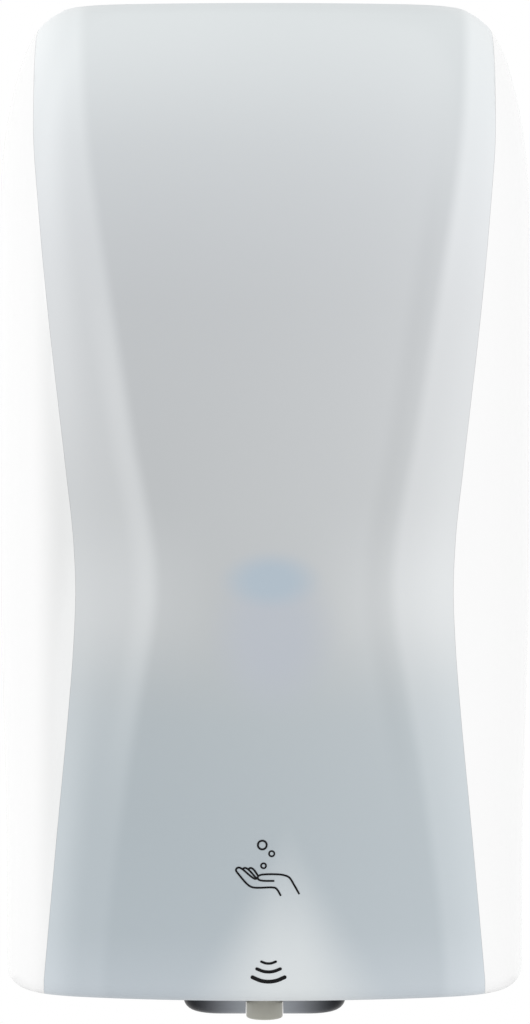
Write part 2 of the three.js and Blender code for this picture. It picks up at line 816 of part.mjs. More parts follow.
// Cover shell: two white wings joined by a ledge on which the window panel lies
{
  // The panel's returns over the top and the bottom end behind the line where the sides run straight
  const returnY = cover.returnSetback - body.straightSideDepth;
  const opening = slab(panelOutline(cover.seam, overrun), -body.depth - overrun, returnY + cover.seam);
  const skin = cut(bodySolid(0, cover.rearY), bodySolid(body.wall, cover.rearY + overrun));
  const ledgeOuter = cover.panelWall + cover.ledgeSink;
  const ledgeShell = cut(
    bodySolid(ledgeOuter, cover.rearY + overrun),
    bodySolid(ledgeOuter + cover.ledgeWall, cover.rearY + 2 * overrun),
  );
  const ledgeOutside = slab(
    panelOutline(cover.ledgeRoot, overrun), -body.depth - overrun, returnY + cover.ledgeRoot);
  const ledgeInside = slab(
    panelOutline(-cover.ledgeReach, -(ledgeOuter + cover.ledgeWall + cover.ledgeReach / 2)),
    -body.depth - 2 * overrun, overrun);
  const ledge = cut(ledgeShell.intersect(ledgeOutside), ledgeInside);
  let shell = join(cut(skin, opening), ledge);

  // Ears that turn on the hinge pins, and notches that leave room for the lugs of the wall plate
  const earY = hinge.y - hinge.armReach;
  for (const side of [-1, 1]) {
    const outerX = side * (hinge.spacing / 2 - clearance);
    const inner = side * (hinge.spacing / 2 - clearance - hinge.earWidth);
    const [x0, x1] = [Math.min(inner, outerX), Math.max(inner, outerX)];
    const ear = join(
      bar("x", hinge.earRadius, x0, x1, [hinge.y, hinge.z], 16),
      block([x0, earY, bottomZ + body.wall / 2], [x1, hinge.y, hinge.z + hinge.earRadius]),
    );
    const lugRoom = [
      side * (hinge.spacing / 2 - clearance),
      side * (hinge.spacing / 2 + hinge.lugWidth + 2 * clearance),
    ].sort((a, b) => a - b);
    shell = cut(shell, block(
      [lugRoom[0], hinge.y - hinge.lugRadius - 4 * clearance, bottomZ - overrun],
      [lugRoom[1], overrun, hinge.z + hinge.lugRadius + clearance],
    ));
    shell = cut(join(shell, ear), bar("x", hinge.pinRadius + clearance, x0 - overrun, x1 + shortOverrun,
      [hinge.y, hinge.z], 16));
  }

  // Catch behind the latch bolt
  const catchFront = latch.boltY + latch.noseHalfY + clearance;
  shell = join(shell, block(
    [-latch.catchHalfX, catchFront, topZ - body.wall - latch.catchDrop],
    [latch.catchHalfX, catchFront + latch.catchWall, topZ - body.wall / 2],
  ));

  // Key slot over the latch
  const keySlot = block(
    [-latch.keySlotHalfX, latch.boltY - latch.keySlotHalfY, topZ - overrun],
    [latch.keySlotHalfX, latch.boltY + latch.keySlotHalfY, topZ + overrun],
  );
  shell = cut(shell, keySlot, trayDoor);
  piece("cover_shell", shell, materials.whiteShell);

  const panelPrism = slab(panelOutline(-cover.seam, overrun), -body.depth - overrun, returnY - cover.seam);
  const panelSkin = cut(bodySolid(0, cover.rearY), bodySolid(cover.panelWall, cover.rearY + overrun));
  piece("window_panel", cut(panelSkin.intersect(panelPrism), trayDoor), materials.frostedPanel);
}

// A flat outline in the y-z plane, given thickness from one x to another.
function fin(points, fromX, toX) {
  const shape = new THREE.Shape(points.map(([y, z]) => new THREE.Vector2(y, z)));
  const geometry = new THREE.ExtrudeGeometry(shape, { depth: toX - fromX, bevelEnabled: false });
  geometry.applyMatrix4(alongAxis.x);
  geometry.translate(fromX, 0, 0);
  return toSolid(geometry);
}

// A slot open towards the front, round at its rear end, cut from one height to another.
function frontSlot(halfWidth, fromZ, toZ) {
  return join(
    block([-halfWidth, -body.depth, fromZ], [halfWidth, pumpY, toZ]),
    bar("z", halfWidth, fromZ, toZ, [0, pumpY], 24),
  );
}

const sensorPostX = [-sensor.postX, sensor.postX];
const gearboxScrewX = gearbox.highX - gearbox.screwInset;
const gearboxScrewZ = [gearbox.lowZ + gearbox.screwInset, gearbox.highZ - gearbox.screwInset];

// Layers of the gear train, front to back
const layerDepths = [gearTrain.rackLayer, gearTrain.layer, gearTrain.layer, gearTrain.layer];
const layers = [];
layerDepths.reduce((front, depth) => {
  layers.push({ front, back: front + depth });
  return front + depth + gearTrain.layerGap;
}, gearTrain.frontY + runningGap);
const gearboxBack = layers[layers.length - 1].back + runningGap;
const gearboxRear = gearboxBack + gearbox.plate;

// Places of the gear axles, worked out from the tooth counts
const pitchRadius = (teeth, unit) => (teeth * unit) / 2;
const stepFrom = ([x, z], distance, turnShare) => {
  const angle = 2 * Math.PI * turnShare;
  return [x + distance * Math.cos(angle), z + distance * Math.sin(angle)];
};
const outputAxle = [
  lift.rackPitchX + pitchRadius(gearTrain.rackTeeth, gearTrain.rackModule),
  gearTrain.outputZ,
];
const outputReach = pitchRadius(gearTrain.wheelTeeth + gearTrain.pinionTeeth, gearTrain.outputModule);
const fineReach = pitchRadius(gearTrain.wheelTeeth + gearTrain.pinionTeeth, gearTrain.fineModule);
const motorReach = pitchRadius(gearTrain.wheelTeeth + gearTrain.motorTeeth, gearTrain.fineModule);
const secondAxle = stepFrom(outputAxle, outputReach, gearTrain.secondTurnShare);
const firstAxle = stepFrom(secondAxle, fineReach, gearTrain.firstTurnShare);
const motorAxle = stepFrom(firstAxle, motorReach, gearTrain.motorTurnShare);

// Chassis
{
  const back = block(
    [-chassis.halfWidth, chassis.frontY, chassis.floorLow],
    [chassis.halfWidth, chassis.backY, chassis.topZ],
  );
  const shelf = block(
    [-chassis.shelfHalfWidth, chassis.shelfFrontY, chassis.shelfLow],
    [chassis.shelfHalfWidth, chassis.backY, chassis.shelfTop],
  );
  const floor = block(
    [-chassis.floorHalfWidth, chassis.floorFrontY, chassis.floorLow],
    [chassis.floorHalfWidth, chassis.backY, chassis.floorTop],
  );
  let solid = join(back, shelf, floor);
  const finOutline = [
    [chassis.frontY, chassis.shelfTop - chassis.shelfWall / 2],
    [chassis.frontY, chassis.shelfTop + chassis.finHeight],
    [chassis.frontY - chassis.finReach, chassis.shelfTop - chassis.shelfWall / 2],
  ];
  for (const x of [-chassis.shelfHalfWidth, chassis.shelfHalfWidth - chassis.wall]) {
    solid = join(solid, fin(finOutline, x, x + chassis.wall));
  }
  for (const z of gearboxScrewZ) {
    const post = bar("y", gearbox.postRadius, gearboxRear + clearance, chassis.frontY + chassis.wall / 2,
      [gearboxScrewX, z], 16);
    const bore = bar("y", gearbox.screwRadius + clearance, gearboxRear - overrun,
      gearboxRear + gearbox.screwReach + 2 * clearance, [gearboxScrewX, z], 12);
    solid = cut(join(solid, post), bore);
  }
  for (const x of sensorPostX) {
    solid = join(solid, bar("z", sensor.postRadius, sensor.boardLow + sensor.boardThickness + clearance,
      chassis.floorLow + chassis.wall / 2, [x, sensor.y], 12));
  }
  const padX = chassis.halfWidth - wallPlate.pad / 2;
  for (const x of [-padX, padX]) {
    for (const z of [wallPlate.padLowZ, wallPlate.padHighZ]) {
      solid = cut(solid, bar("y", chassis.screwRadius + clearance, chassis.frontY - shortOverrun,
        chassis.backY + shortOverrun, [x, z], 12));
    }
  }
  const cableDoor = block(
    [
      chassis.cableDoorX - chassis.cableDoor,
      chassis.cableDoorY - chassis.cableDoor,
      chassis.floorLow - overrun,
    ],
    [
      chassis.cableDoorX + chassis.cableDoor,
      chassis.cableDoorY + chassis.cableDoor,
      chassis.floorTop + overrun,
    ],
  );
  solid = cut(
    solid,
    frontSlot(pump.radius + clearance, chassis.shelfLow - overrun, chassis.shelfTop + overrun),
    frontSlot(tray.slotWidth / 2, chassis.floorLow - overrun, chassis.floorTop + overrun),
    cableDoor,
  );
  piece("chassis", solid, materials.greyPlastic);

  // A screw along Y, its head towards the room
  const screw = (name, [x, z], headBack, sizes, tip) => {
    const head = bar("y", sizes.screwHeadRadius, headBack - sizes.screwHead, headBack, [x, z], 16);
    const recess = bar("y", sizes.screwRadius, headBack - sizes.screwHead - overrun,
      headBack - sizes.screwHead / 2, [x, z], 6);
    const shank = bar("y", sizes.screwRadius, headBack - sizes.screwHead / 4, tip, [x, z], 12);
    piece(name, join(cut(head, recess), shank), materials.steel);
  };
  let number = 1;
  for (const x of [-padX, padX]) {
    for (const z of [wallPlate.padLowZ, wallPlate.padHighZ]) {
      screw(`chassis_screw_${number}`, [x, z], chassis.frontY - clearance, chassis,
        chassis.frontY + chassis.screwDepth);
      number += 1;
    }
  }
  gearboxScrewZ.forEach((z, i) => {
    screw(`gearbox_screw_${i + 1}`, [gearboxScrewX, z], gearTrain.frontY - gearbox.plate - clearance, gearbox,
      gearboxRear + gearbox.screwReach);
  });
}

// Bottom tray with the slot for the nozzle, and the sensor window in its floor
{
  const trayRings = (inset, topZ) => {
    const rings = [];
    for (let i = 0; i <= tray.edgeSteps; i += 1) {
      const angle = (Math.PI / 2) * (i / tray.edgeSteps);
      const edge = tray.edgeRadius - inset;
      const drawnIn = inset + edge * (1 - Math.sin(angle));
      rings.push(roundedRing(tray.width / 2 - drawnIn, (tray.backY - tray.frontY) / 2 - drawnIn,
        tray.cornerRadius - drawnIn, tray.lowZ + inset + edge * (1 - Math.cos(angle)), [0, tray.centreY],
        tray.cornerPoints));
    }
    rings.push(roundedRing(tray.width / 2 - inset, (tray.backY - tray.frontY) / 2 - inset,
      tray.cornerRadius - inset, topZ, [0, tray.centreY], tray.cornerPoints));
    return loft(rings);
  };
  const trayTop = chassis.floorLow - clearance;
  const outer = trayRings(0, trayTop);
  const shell = cut(outer, trayRings(tray.wall, trayTop + overrun));
  const cheeks = frontSlot(tray.slotWidth / 2 + tray.wall, tray.lowZ - overrun, trayTop).intersect(outer);
  const windowHole = (reach, low, high) => block(
    [-sensor.windowHalfX - reach, sensor.y - sensor.windowHalfY - reach, low],
    [sensor.windowHalfX + reach, sensor.y + sensor.windowHalfY + reach, high],
  );
  piece("bottom_tray", cut(
    join(shell, cheeks),
    frontSlot(tray.slotWidth / 2, tray.lowZ - overrun, trayTop + overrun),
    windowHole(clearance, tray.lowZ - overrun, tray.lowZ + tray.wall + shortOverrun),
  ), materials.satinMetal);

  const trayFloor = tray.lowZ + tray.wall;
  piece("sensor_window", join(
    windowHole(0, tray.lowZ + sensor.windowRecess, trayFloor + clearance + sensor.flange / 2),
    windowHole(sensor.flangeReach, trayFloor + clearance, trayFloor + clearance + sensor.flange),
  ), materials.darkLens);
  piece("sensor_board", block(
    [-sensor.boardHalfX, sensor.y - sensor.boardHalfY, sensor.boardLow],
    [sensor.boardHalfX, sensor.y + sensor.boardHalfY, sensor.boardLow + sensor.boardThickness],
  ), materials.circuitBoard);
  for (const [name, x] of [["ir_emitter", -sensor.diodeX], ["ir_receiver", sensor.diodeX]]) {
    const top = sensor.boardLow - clearance;
    piece(name, turned([
      [0, top - sensor.diodeLength], [sensor.diodeTipRadius, top - sensor.diodeLength + sensor.diodeTip],
      [sensor.diodeRadius, top - sensor.diodeLength + sensor.diodeDome], [sensor.diodeRadius, top], [0, top],
    ], [x, sensor.y], 14), materials.darkLens);
  }
}

// Soap bottle, open at its neck
{
  const bottleRings = (inset, lowest) => {
    const ring = (halfX, halfY, corner, z, centreY) => roundedRing(
      halfX - inset, halfY - inset, corner - inset, z, [0, centreY]);
    const neck = bottle.neckRadius;
    const shoulderZ = bottle.lowZ + bottle.shoulder + inset;
    return [
      ring(neck, neck, neck, lowest, pumpY),
      ring(neck, neck, neck, bottle.lowZ + inset, pumpY),
      ring(bottle.lowHalfX, bottle.lowHalfY, bottle.lowCorner, shoulderZ, (3 * pumpY + bottle.centreY) / 4),
      ring(bottle.topHalfX, bottle.topHalfY, bottle.topCorner, bottle.topZ - bottle.crown, bottle.centreY),
      ring(bottle.topHalfX - bottle.crownInset / 3, bottle.topHalfY - bottle.crownInset / 3,
        bottle.topCorner - bottle.crownInset / 3, bottle.topZ - bottle.crown / 3 - inset / 2, bottle.centreY),
      ring(bottle.topHalfX - bottle.crownInset, bottle.topHalfY - bottle.crownInset,
        bottle.topCorner - bottle.crownInset / 2, bottle.topZ - inset, bottle.centreY),
    ];
  };
  const outer = loft(bottleRings(0, pump.neckLow));
  const inner = loft(bottleRings(bottle.wall, pump.neckLow - overrun));
  piece("soap_bottle", cut(outer, inner), materials.bottlePlastic);

  let collar = turned([
    [pump.radius + clearance, bottle.collarLow],
    [bottle.collarRadius, bottle.collarLow],
    [bottle.collarRadius, bottle.collarHigh],
    [bottle.neckRadius + clearance, bottle.collarHigh],
    [bottle.neckRadius + clearance, bottle.collarLow + bottle.lip],
    [pump.radius + clearance, bottle.collarLow + bottle.lip],
    [pump.radius + clearance, bottle.collarLow],
  ], [0, pumpY], 28);
  for (let i = 0; i < bottle.grooves; i += 1) {
    const angle = (2 * Math.PI * i) / bottle.grooves;
    const place = [bottle.collarRadius * Math.cos(angle), pumpY + bottle.collarRadius * Math.sin(angle)];
    collar = cut(collar, bar("z", bottle.grooveRadius, bottle.collarLow - overrun,
      bottle.collarHigh - bottle.lip, place, 6));
  }
  piece("bottle_collar", collar, materials.bluePlastic);
}

// Pump: body, gasket, inlet valve, stem with its piston, seal and return spring, and nozzle
{
  const centre = [0, pumpY];
  piece("pump_body", turned([
    [pump.stemRadius + runningGap, pump.lowZ],
    [pump.radius, pump.lowZ],
    [pump.radius, pump.flangeLow],
    [bottle.neckRadius, pump.flangeLow],
    [bottle.neckRadius, pump.flangeHigh],
    [pump.inletRadius, pump.flangeHigh],
    [pump.inletRadius, pump.ceilingZ],
    [pump.bore, pump.ceilingZ],
    [pump.bore, pump.lowZ + pump.floor],
    [pump.stemRadius + runningGap, pump.lowZ + pump.floor],
    [pump.stemRadius + runningGap, pump.lowZ],
  ], centre), materials.whitePlastic);
  piece("neck_gasket", turned([
    [pump.gasketBore, pump.gasketLow],
    [bottle.neckRadius - clearance, pump.gasketLow],
    [bottle.neckRadius - clearance, pump.gasketLow + pump.gasketHeight],
    [pump.gasketBore, pump.gasketLow + pump.gasketHeight],
    [pump.gasketBore, pump.gasketLow],
  ], centre), materials.rubber);
  const valveTop = pump.ceilingZ - clearance;
  piece("inlet_valve", turned([
    [0, valveTop - pump.valveHeight],
    [pump.valveRadius, valveTop - pump.valveHeight / 2],
    [pump.valveRadius, valveTop],
    [pump.valveStemRadius, valveTop],
    [pump.valveStemRadius, valveTop + pump.valveLift],
    [0, valveTop + pump.valveLift],
  ], centre, 16), materials.rubber);

  const collarLow = lift.topZ + clearance;
  const grooveLow = pump.pistonLow + pump.pistonLand;
  piece("pump_stem", turned([
    [pump.channelRadius, nozzle.topZ - nozzle.spigotLength],
    [nozzle.spigotRadius, nozzle.topZ - nozzle.spigotLength],
    [nozzle.spigotRadius, nozzle.topZ + clearance],
    [pump.stemRadius, nozzle.topZ + clearance],
    [pump.stemRadius, collarLow],
    [pump.collarRadius, collarLow],
    [pump.collarRadius, collarLow + pump.collarHeight],
    [pump.stemRadius, collarLow + pump.collarHeight],
    [pump.stemRadius, pump.pistonLow],
    [pump.pistonRadius, pump.pistonLow],
    [pump.pistonRadius, grooveLow],
    [pump.pistonRadius - pump.sealGroove, grooveLow],
    [pump.pistonRadius - pump.sealGroove, grooveLow + pump.grooveHeight],
    [pump.pistonRadius, grooveLow + pump.grooveHeight],
    [pump.pistonRadius, pump.pistonHigh],
    [pump.channelRadius, pump.pistonHigh],
    [pump.channelRadius, nozzle.topZ - nozzle.spigotLength],
  ], centre, 20), materials.whitePlastic);
  const sealInner = pump.pistonRadius - pump.sealGroove + clearance;
  const sealOuter = pump.pistonRadius + pump.sealReach;
  const sealLow = grooveLow + clearance;
  piece("piston_seal", turned([
    [sealInner, sealLow], [sealOuter, sealLow], [sealOuter, sealLow + pump.sealHeight],
    [sealInner, sealLow + pump.sealHeight], [sealInner, sealLow],
  ], centre, 20), materials.rubber);
  piece("pump_spring", coilSpring("pump_spring", {
    coilRadius: pump.springRadius,
    wireRadius: pump.springWire,
    turns: pump.springTurns,
    low: pump.pistonHigh + clearance,
    high: pump.ceilingZ - clearance,
    centre,
  }), materials.steel);
  const socketRadius = nozzle.spigotRadius + clearance;
  const socketLow = nozzle.topZ - nozzle.spigotLength - clearance;
  piece("nozzle", turned([
    [nozzle.outletRadius, nozzle.tipZ + nozzle.rim],
    [nozzle.outletRadius + nozzle.rim, nozzle.tipZ],
    [nozzle.radius - nozzle.tipRound, nozzle.tipZ],
    [nozzle.radius - nozzle.tipRound / 3, nozzle.tipZ + nozzle.rim],
    [nozzle.radius, nozzle.tipZ + nozzle.tipRound],
    [nozzle.radius, nozzle.topZ],
    [socketRadius, nozzle.topZ],
    [socketRadius, socketLow],
    [nozzle.outletRadius, socketLow],
    [nozzle.outletRadius, nozzle.tipZ + nozzle.rim],
  ], centre), materials.nozzlePlastic);
}

// Outline of a spur gear in the x-z plane, with one tooth pointing along a share of a turn
function gearOutline(teeth, unit, [x, z], toothTurnShare) {
  const radius = pitchRadius(teeth, unit);
  const tip = radius + unit * gearTrain.addendumShare;
  const root = radius - unit * gearTrain.dedendumShare;
  const pitch = (2 * Math.PI) / teeth;
  const outline = [];
  for (let i = 0; i < teeth; i += 1) {
    const middle = 2 * Math.PI * toothTurnShare + i * pitch;
    const corners = [
      [root, -gearTrain.rootShare], [tip, -gearTrain.tipShare],
      [tip, gearTrain.tipShare], [root, gearTrain.rootShare],
    ];
    corners.forEach(([r, share]) => {
      const angle = middle + (share * pitch) / 2;
      outline.push([x + r * Math.cos(angle), z + r * Math.sin(angle)]);
    });
  }
  return outline;
}

// Lift carriage with its rack, and the rods that guide it
{
  const unit = gearTrain.rackModule;
  const plateLow = lift.topZ - lift.plate;
  const plate = block([-lift.halfWidth, lift.frontY, plateLow], [lift.halfWidth, lift.backY, lift.topZ]);
  const pitch = Math.PI * unit;
  const root = lift.rackPitchX - unit * gearTrain.dedendumShare;
  const tip = lift.rackPitchX + unit * gearTrain.addendumShare;
  const back = root - lift.rackBack;
  const outline = [[back, lift.rackHigh], [back, lift.rackLow], [root, lift.rackLow]];
  const firstTooth = Math.ceil((lift.rackLow - gearTrain.outputZ) / pitch) + 1 / 2;
  for (let k = firstTooth; gearTrain.outputZ + (k + 1 / 2) * pitch < lift.rackHigh; k += 1) {
    const middle = gearTrain.outputZ + k * pitch;
    outline.push(
      [root, middle - (gearTrain.rootShare * pitch) / 2],
      [tip, middle - (gearTrain.tipShare * pitch) / 2],
      [tip, middle + (gearTrain.tipShare * pitch) / 2],
      [root, middle + (gearTrain.rootShare * pitch) / 2],
    );
  }
  outline.push([root, lift.rackHigh]);
  const rack = slab(outline, layers[0].front, layers[0].back);
  const arm = block(
    [lift.halfWidth - lift.rackBack / 2, layers[0].front, plateLow],
    [back + lift.rackBack / 2, layers[0].back, lift.topZ],
  );
  let carriage = cut(join(plate, arm, rack), frontSlot(tray.slotWidth / 2, plateLow - shortOverrun,
    lift.topZ + shortOverrun));
  for (const x of [-lift.rodX, lift.rodX]) {
    carriage = cut(carriage, bar("z", lift.rodRadius + runningGap, plateLow - overrun, lift.topZ + overrun,
      [x, lift.rodY], 16));
  }
  piece("lift_carriage", carriage, materials.gearPlastic);
  for (const [name, x] of [["guide_rod_left", -lift.rodX], ["guide_rod_right", lift.rodX]]) {
    piece(name, bar("z", lift.rodRadius, chassis.floorTop + clearance, chassis.shelfLow - clearance,
      [x, lift.rodY], 16), materials.steel);
  }
}

// Gears, motor and gearbox
{
  const bore = (place, radius = gearTrain.axleRadius + clearance) => bar(
    "y", radius, gearTrain.frontY - overrun, gearboxRear + overrun, place, 10);
  const gear = (teeth, unit, place, turnShare, from, to) => slab(
    gearOutline(teeth, unit, place, turnShare), from, to);
  const hub = (place, from, to) => bar("y", gearTrain.hubRadius, from, to, place, 14);
  const frontEnd = layers[0].front;
  const backEnd = layers[3].back;
  // A gear that another one drives along a given turn has a gap, not a tooth, facing it
  const facing = (turnShare, teeth) => turnShare + 1 / 2 + 1 / (2 * teeth);
  const { wheelTeeth, pinionTeeth, motorTeeth, rackTeeth } = gearTrain;

  piece("output_gear", cut(join(
    gear(rackTeeth, gearTrain.rackModule, outputAxle, 1 / 2, frontEnd, layers[1].front + clearance),
    gear(wheelTeeth, gearTrain.outputModule, outputAxle, gearTrain.secondTurnShare,
      layers[1].front, layers[1].back),
    hub(outputAxle, layers[1].front, backEnd),
  ), bore(outputAxle)), materials.gearPlastic);
  piece("second_gear", cut(join(
    hub(secondAxle, frontEnd, layers[2].front),
    gear(pinionTeeth, gearTrain.outputModule, secondAxle,
      facing(gearTrain.secondTurnShare, pinionTeeth), layers[1].front, layers[2].front + clearance),
    gear(wheelTeeth, gearTrain.fineModule, secondAxle, gearTrain.firstTurnShare,
      layers[2].front, layers[2].back),
    hub(secondAxle, layers[2].front, backEnd),
  ), bore(secondAxle)), materials.gearPlastic);
  piece("first_gear", cut(join(
    hub(firstAxle, frontEnd, layers[3].front),
    gear(pinionTeeth, gearTrain.fineModule, firstAxle,
      facing(gearTrain.firstTurnShare, pinionTeeth), layers[2].front, layers[3].front + clearance),
    gear(wheelTeeth, gearTrain.fineModule, firstAxle, gearTrain.motorTurnShare,
      layers[3].front, layers[3].back),
  ), bore(firstAxle)), materials.gearPlastic);
  piece("motor_pinion", cut(
    gear(motorTeeth, gearTrain.fineModule, motorAxle,
      facing(gearTrain.motorTurnShare, motorTeeth), layers[3].front, layers[3].back),
    bore(motorAxle, motor.shaftRadius + clearance),
  ), materials.steel);

  const axles = [["output_axle", outputAxle], ["second_axle", secondAxle], ["first_axle", firstAxle]];
  axles.forEach(([name, place]) => piece(name, bar("y", gearTrain.axleRadius,
    gearTrain.frontY - gearbox.plate, gearboxRear, place, 10), materials.steel));

  const motorFront = gearboxRear + clearance;
  const motorBack = motorFront + motor.length;
  piece("motor_shaft", bar("y", motor.shaftRadius, layers[3].front, motorFront + motor.shaftDepth,
    motorAxle, 10), materials.steel);
  const flats = block(
    [motorAxle[0] - motor.radius, motorFront, motorAxle[1] - motor.flatHalf],
    [motorAxle[0] + motor.radius, motorBack, motorAxle[1] + motor.flatHalf],
  );
  piece("motor_can", cut(
    join(
      bar("y", motor.radius, motorFront, motorBack, motorAxle, 24).intersect(flats),
      bar("y", motor.bossRadius, motorFront - motor.boss, motorFront + clearance, motorAxle, 16),
    ),
    bar("y", motor.shaftRadius + clearance, motorFront - overrun, motorFront + motor.shaftDepth + clearance,
      motorAxle, 10),
  ), materials.steel);
  piece("motor_end_cap", bar("y", motor.flatHalf - motor.endCapInset, motorBack + clearance,
    motorBack + motor.endCap, motorAxle, 20), materials.darkPlastic);

  const plate = (from, to) => block([gearbox.lowX, from, gearbox.lowZ], [gearbox.highX, to, gearbox.highZ]);
  const bores = [
    ...axles.map(([, place]) => bore(place)),
    ...gearboxScrewZ.map((z) => bore([gearboxScrewX, z], gearbox.screwRadius + clearance)),
  ];
  const room = block(
    [gearbox.lowX - overrun, gearTrain.frontY - overrun, gearbox.lowZ + gearbox.wall],
    [gearbox.highX - gearbox.wall, gearboxBack, gearbox.highZ - gearbox.wall],
  );
  const legX = gearbox.lowX + gearbox.legInset;
  const legY = gearTrain.frontY + gearbox.legInset;
  const leg = block(
    [legX, legY, gearbox.highZ - gearbox.wall / 2],
    [legX + gearbox.legWidth, legY + gearbox.legDepth, chassis.shelfLow - clearance],
  );
  piece("gearbox_base", cut(
    join(cut(plate(gearTrain.frontY + clearance, gearboxRear), room), leg),
    ...bores,
    bore(motorAxle, motor.bossRadius + clearance),
  ), materials.greyPlastic);
  piece("gearbox_cover", cut(plate(gearTrain.frontY - gearbox.plate, gearTrain.frontY), ...bores),
    materials.greyPlastic);
}

// Battery box: a tub open to the front, four cells, contact plates and a door
{
  const { pitch, lowX, backY, frontY } = battery;
  const highX = battery.innerX;
  const lowZ = chassis.floorTop + clearance;
  const contactRoom = battery.contact + 2 * clearance;
  const cellLow = lowZ + battery.wall + contactRoom;
  const cellHigh = cellLow + cell.length;
  const highZ = cellHigh + cell.cap + contactRoom + battery.wall;
  const room = block(
    [lowX + battery.wall, frontY - overrun, lowZ + battery.wall],
    [highX - battery.wall, backY - battery.wall, highZ - battery.wall],
  );
  piece("battery_box", cut(block([lowX, frontY, lowZ], [highX, backY, highZ]), room), materials.darkPlastic);
  const firstX = highX - battery.wall - battery.gap - cell.radius;
  const firstY = backY - battery.wall - battery.gap - cell.radius;
  [0, 1, 2, 3].forEach((i) => {
    const centre = [firstX - (i % 2) * pitch, firstY - Math.floor(i / 2) * pitch];
    piece(`battery_cell_${i + 1}`, join(
      bar("z", cell.radius, cellLow, cellHigh, centre, 20),
      bar("z", cell.capRadius, cellHigh - clearance, cellHigh + cell.cap, centre, 10),
    ), materials.cellSleeve);
  });
  const contact = (name, low) => piece(name, block(
    [lowX + battery.wall + clearance, frontY + clearance, low],
    [highX - battery.wall - clearance, backY - battery.wall - clearance, low + battery.contact],
  ), materials.steel);
  contact("lower_contacts", lowZ + battery.wall + clearance);
  contact("upper_contacts", cellHigh + cell.cap + clearance);
  const doorBack = frontY - clearance;
  const gripX = (lowX + highX) / 2;
  const gripHigh = highZ - battery.wall;
  piece("battery_door", join(
    block([lowX, doorBack - battery.door, lowZ], [highX, doorBack, highZ]),
    block(
      [gripX - battery.gripHalfX, doorBack - battery.door - battery.gripDepth, gripHigh - battery.gripHeight],
      [gripX + battery.gripHalfX, doorBack - battery.door / 2, gripHigh],
    ),
  ), materials.darkPlastic);
}

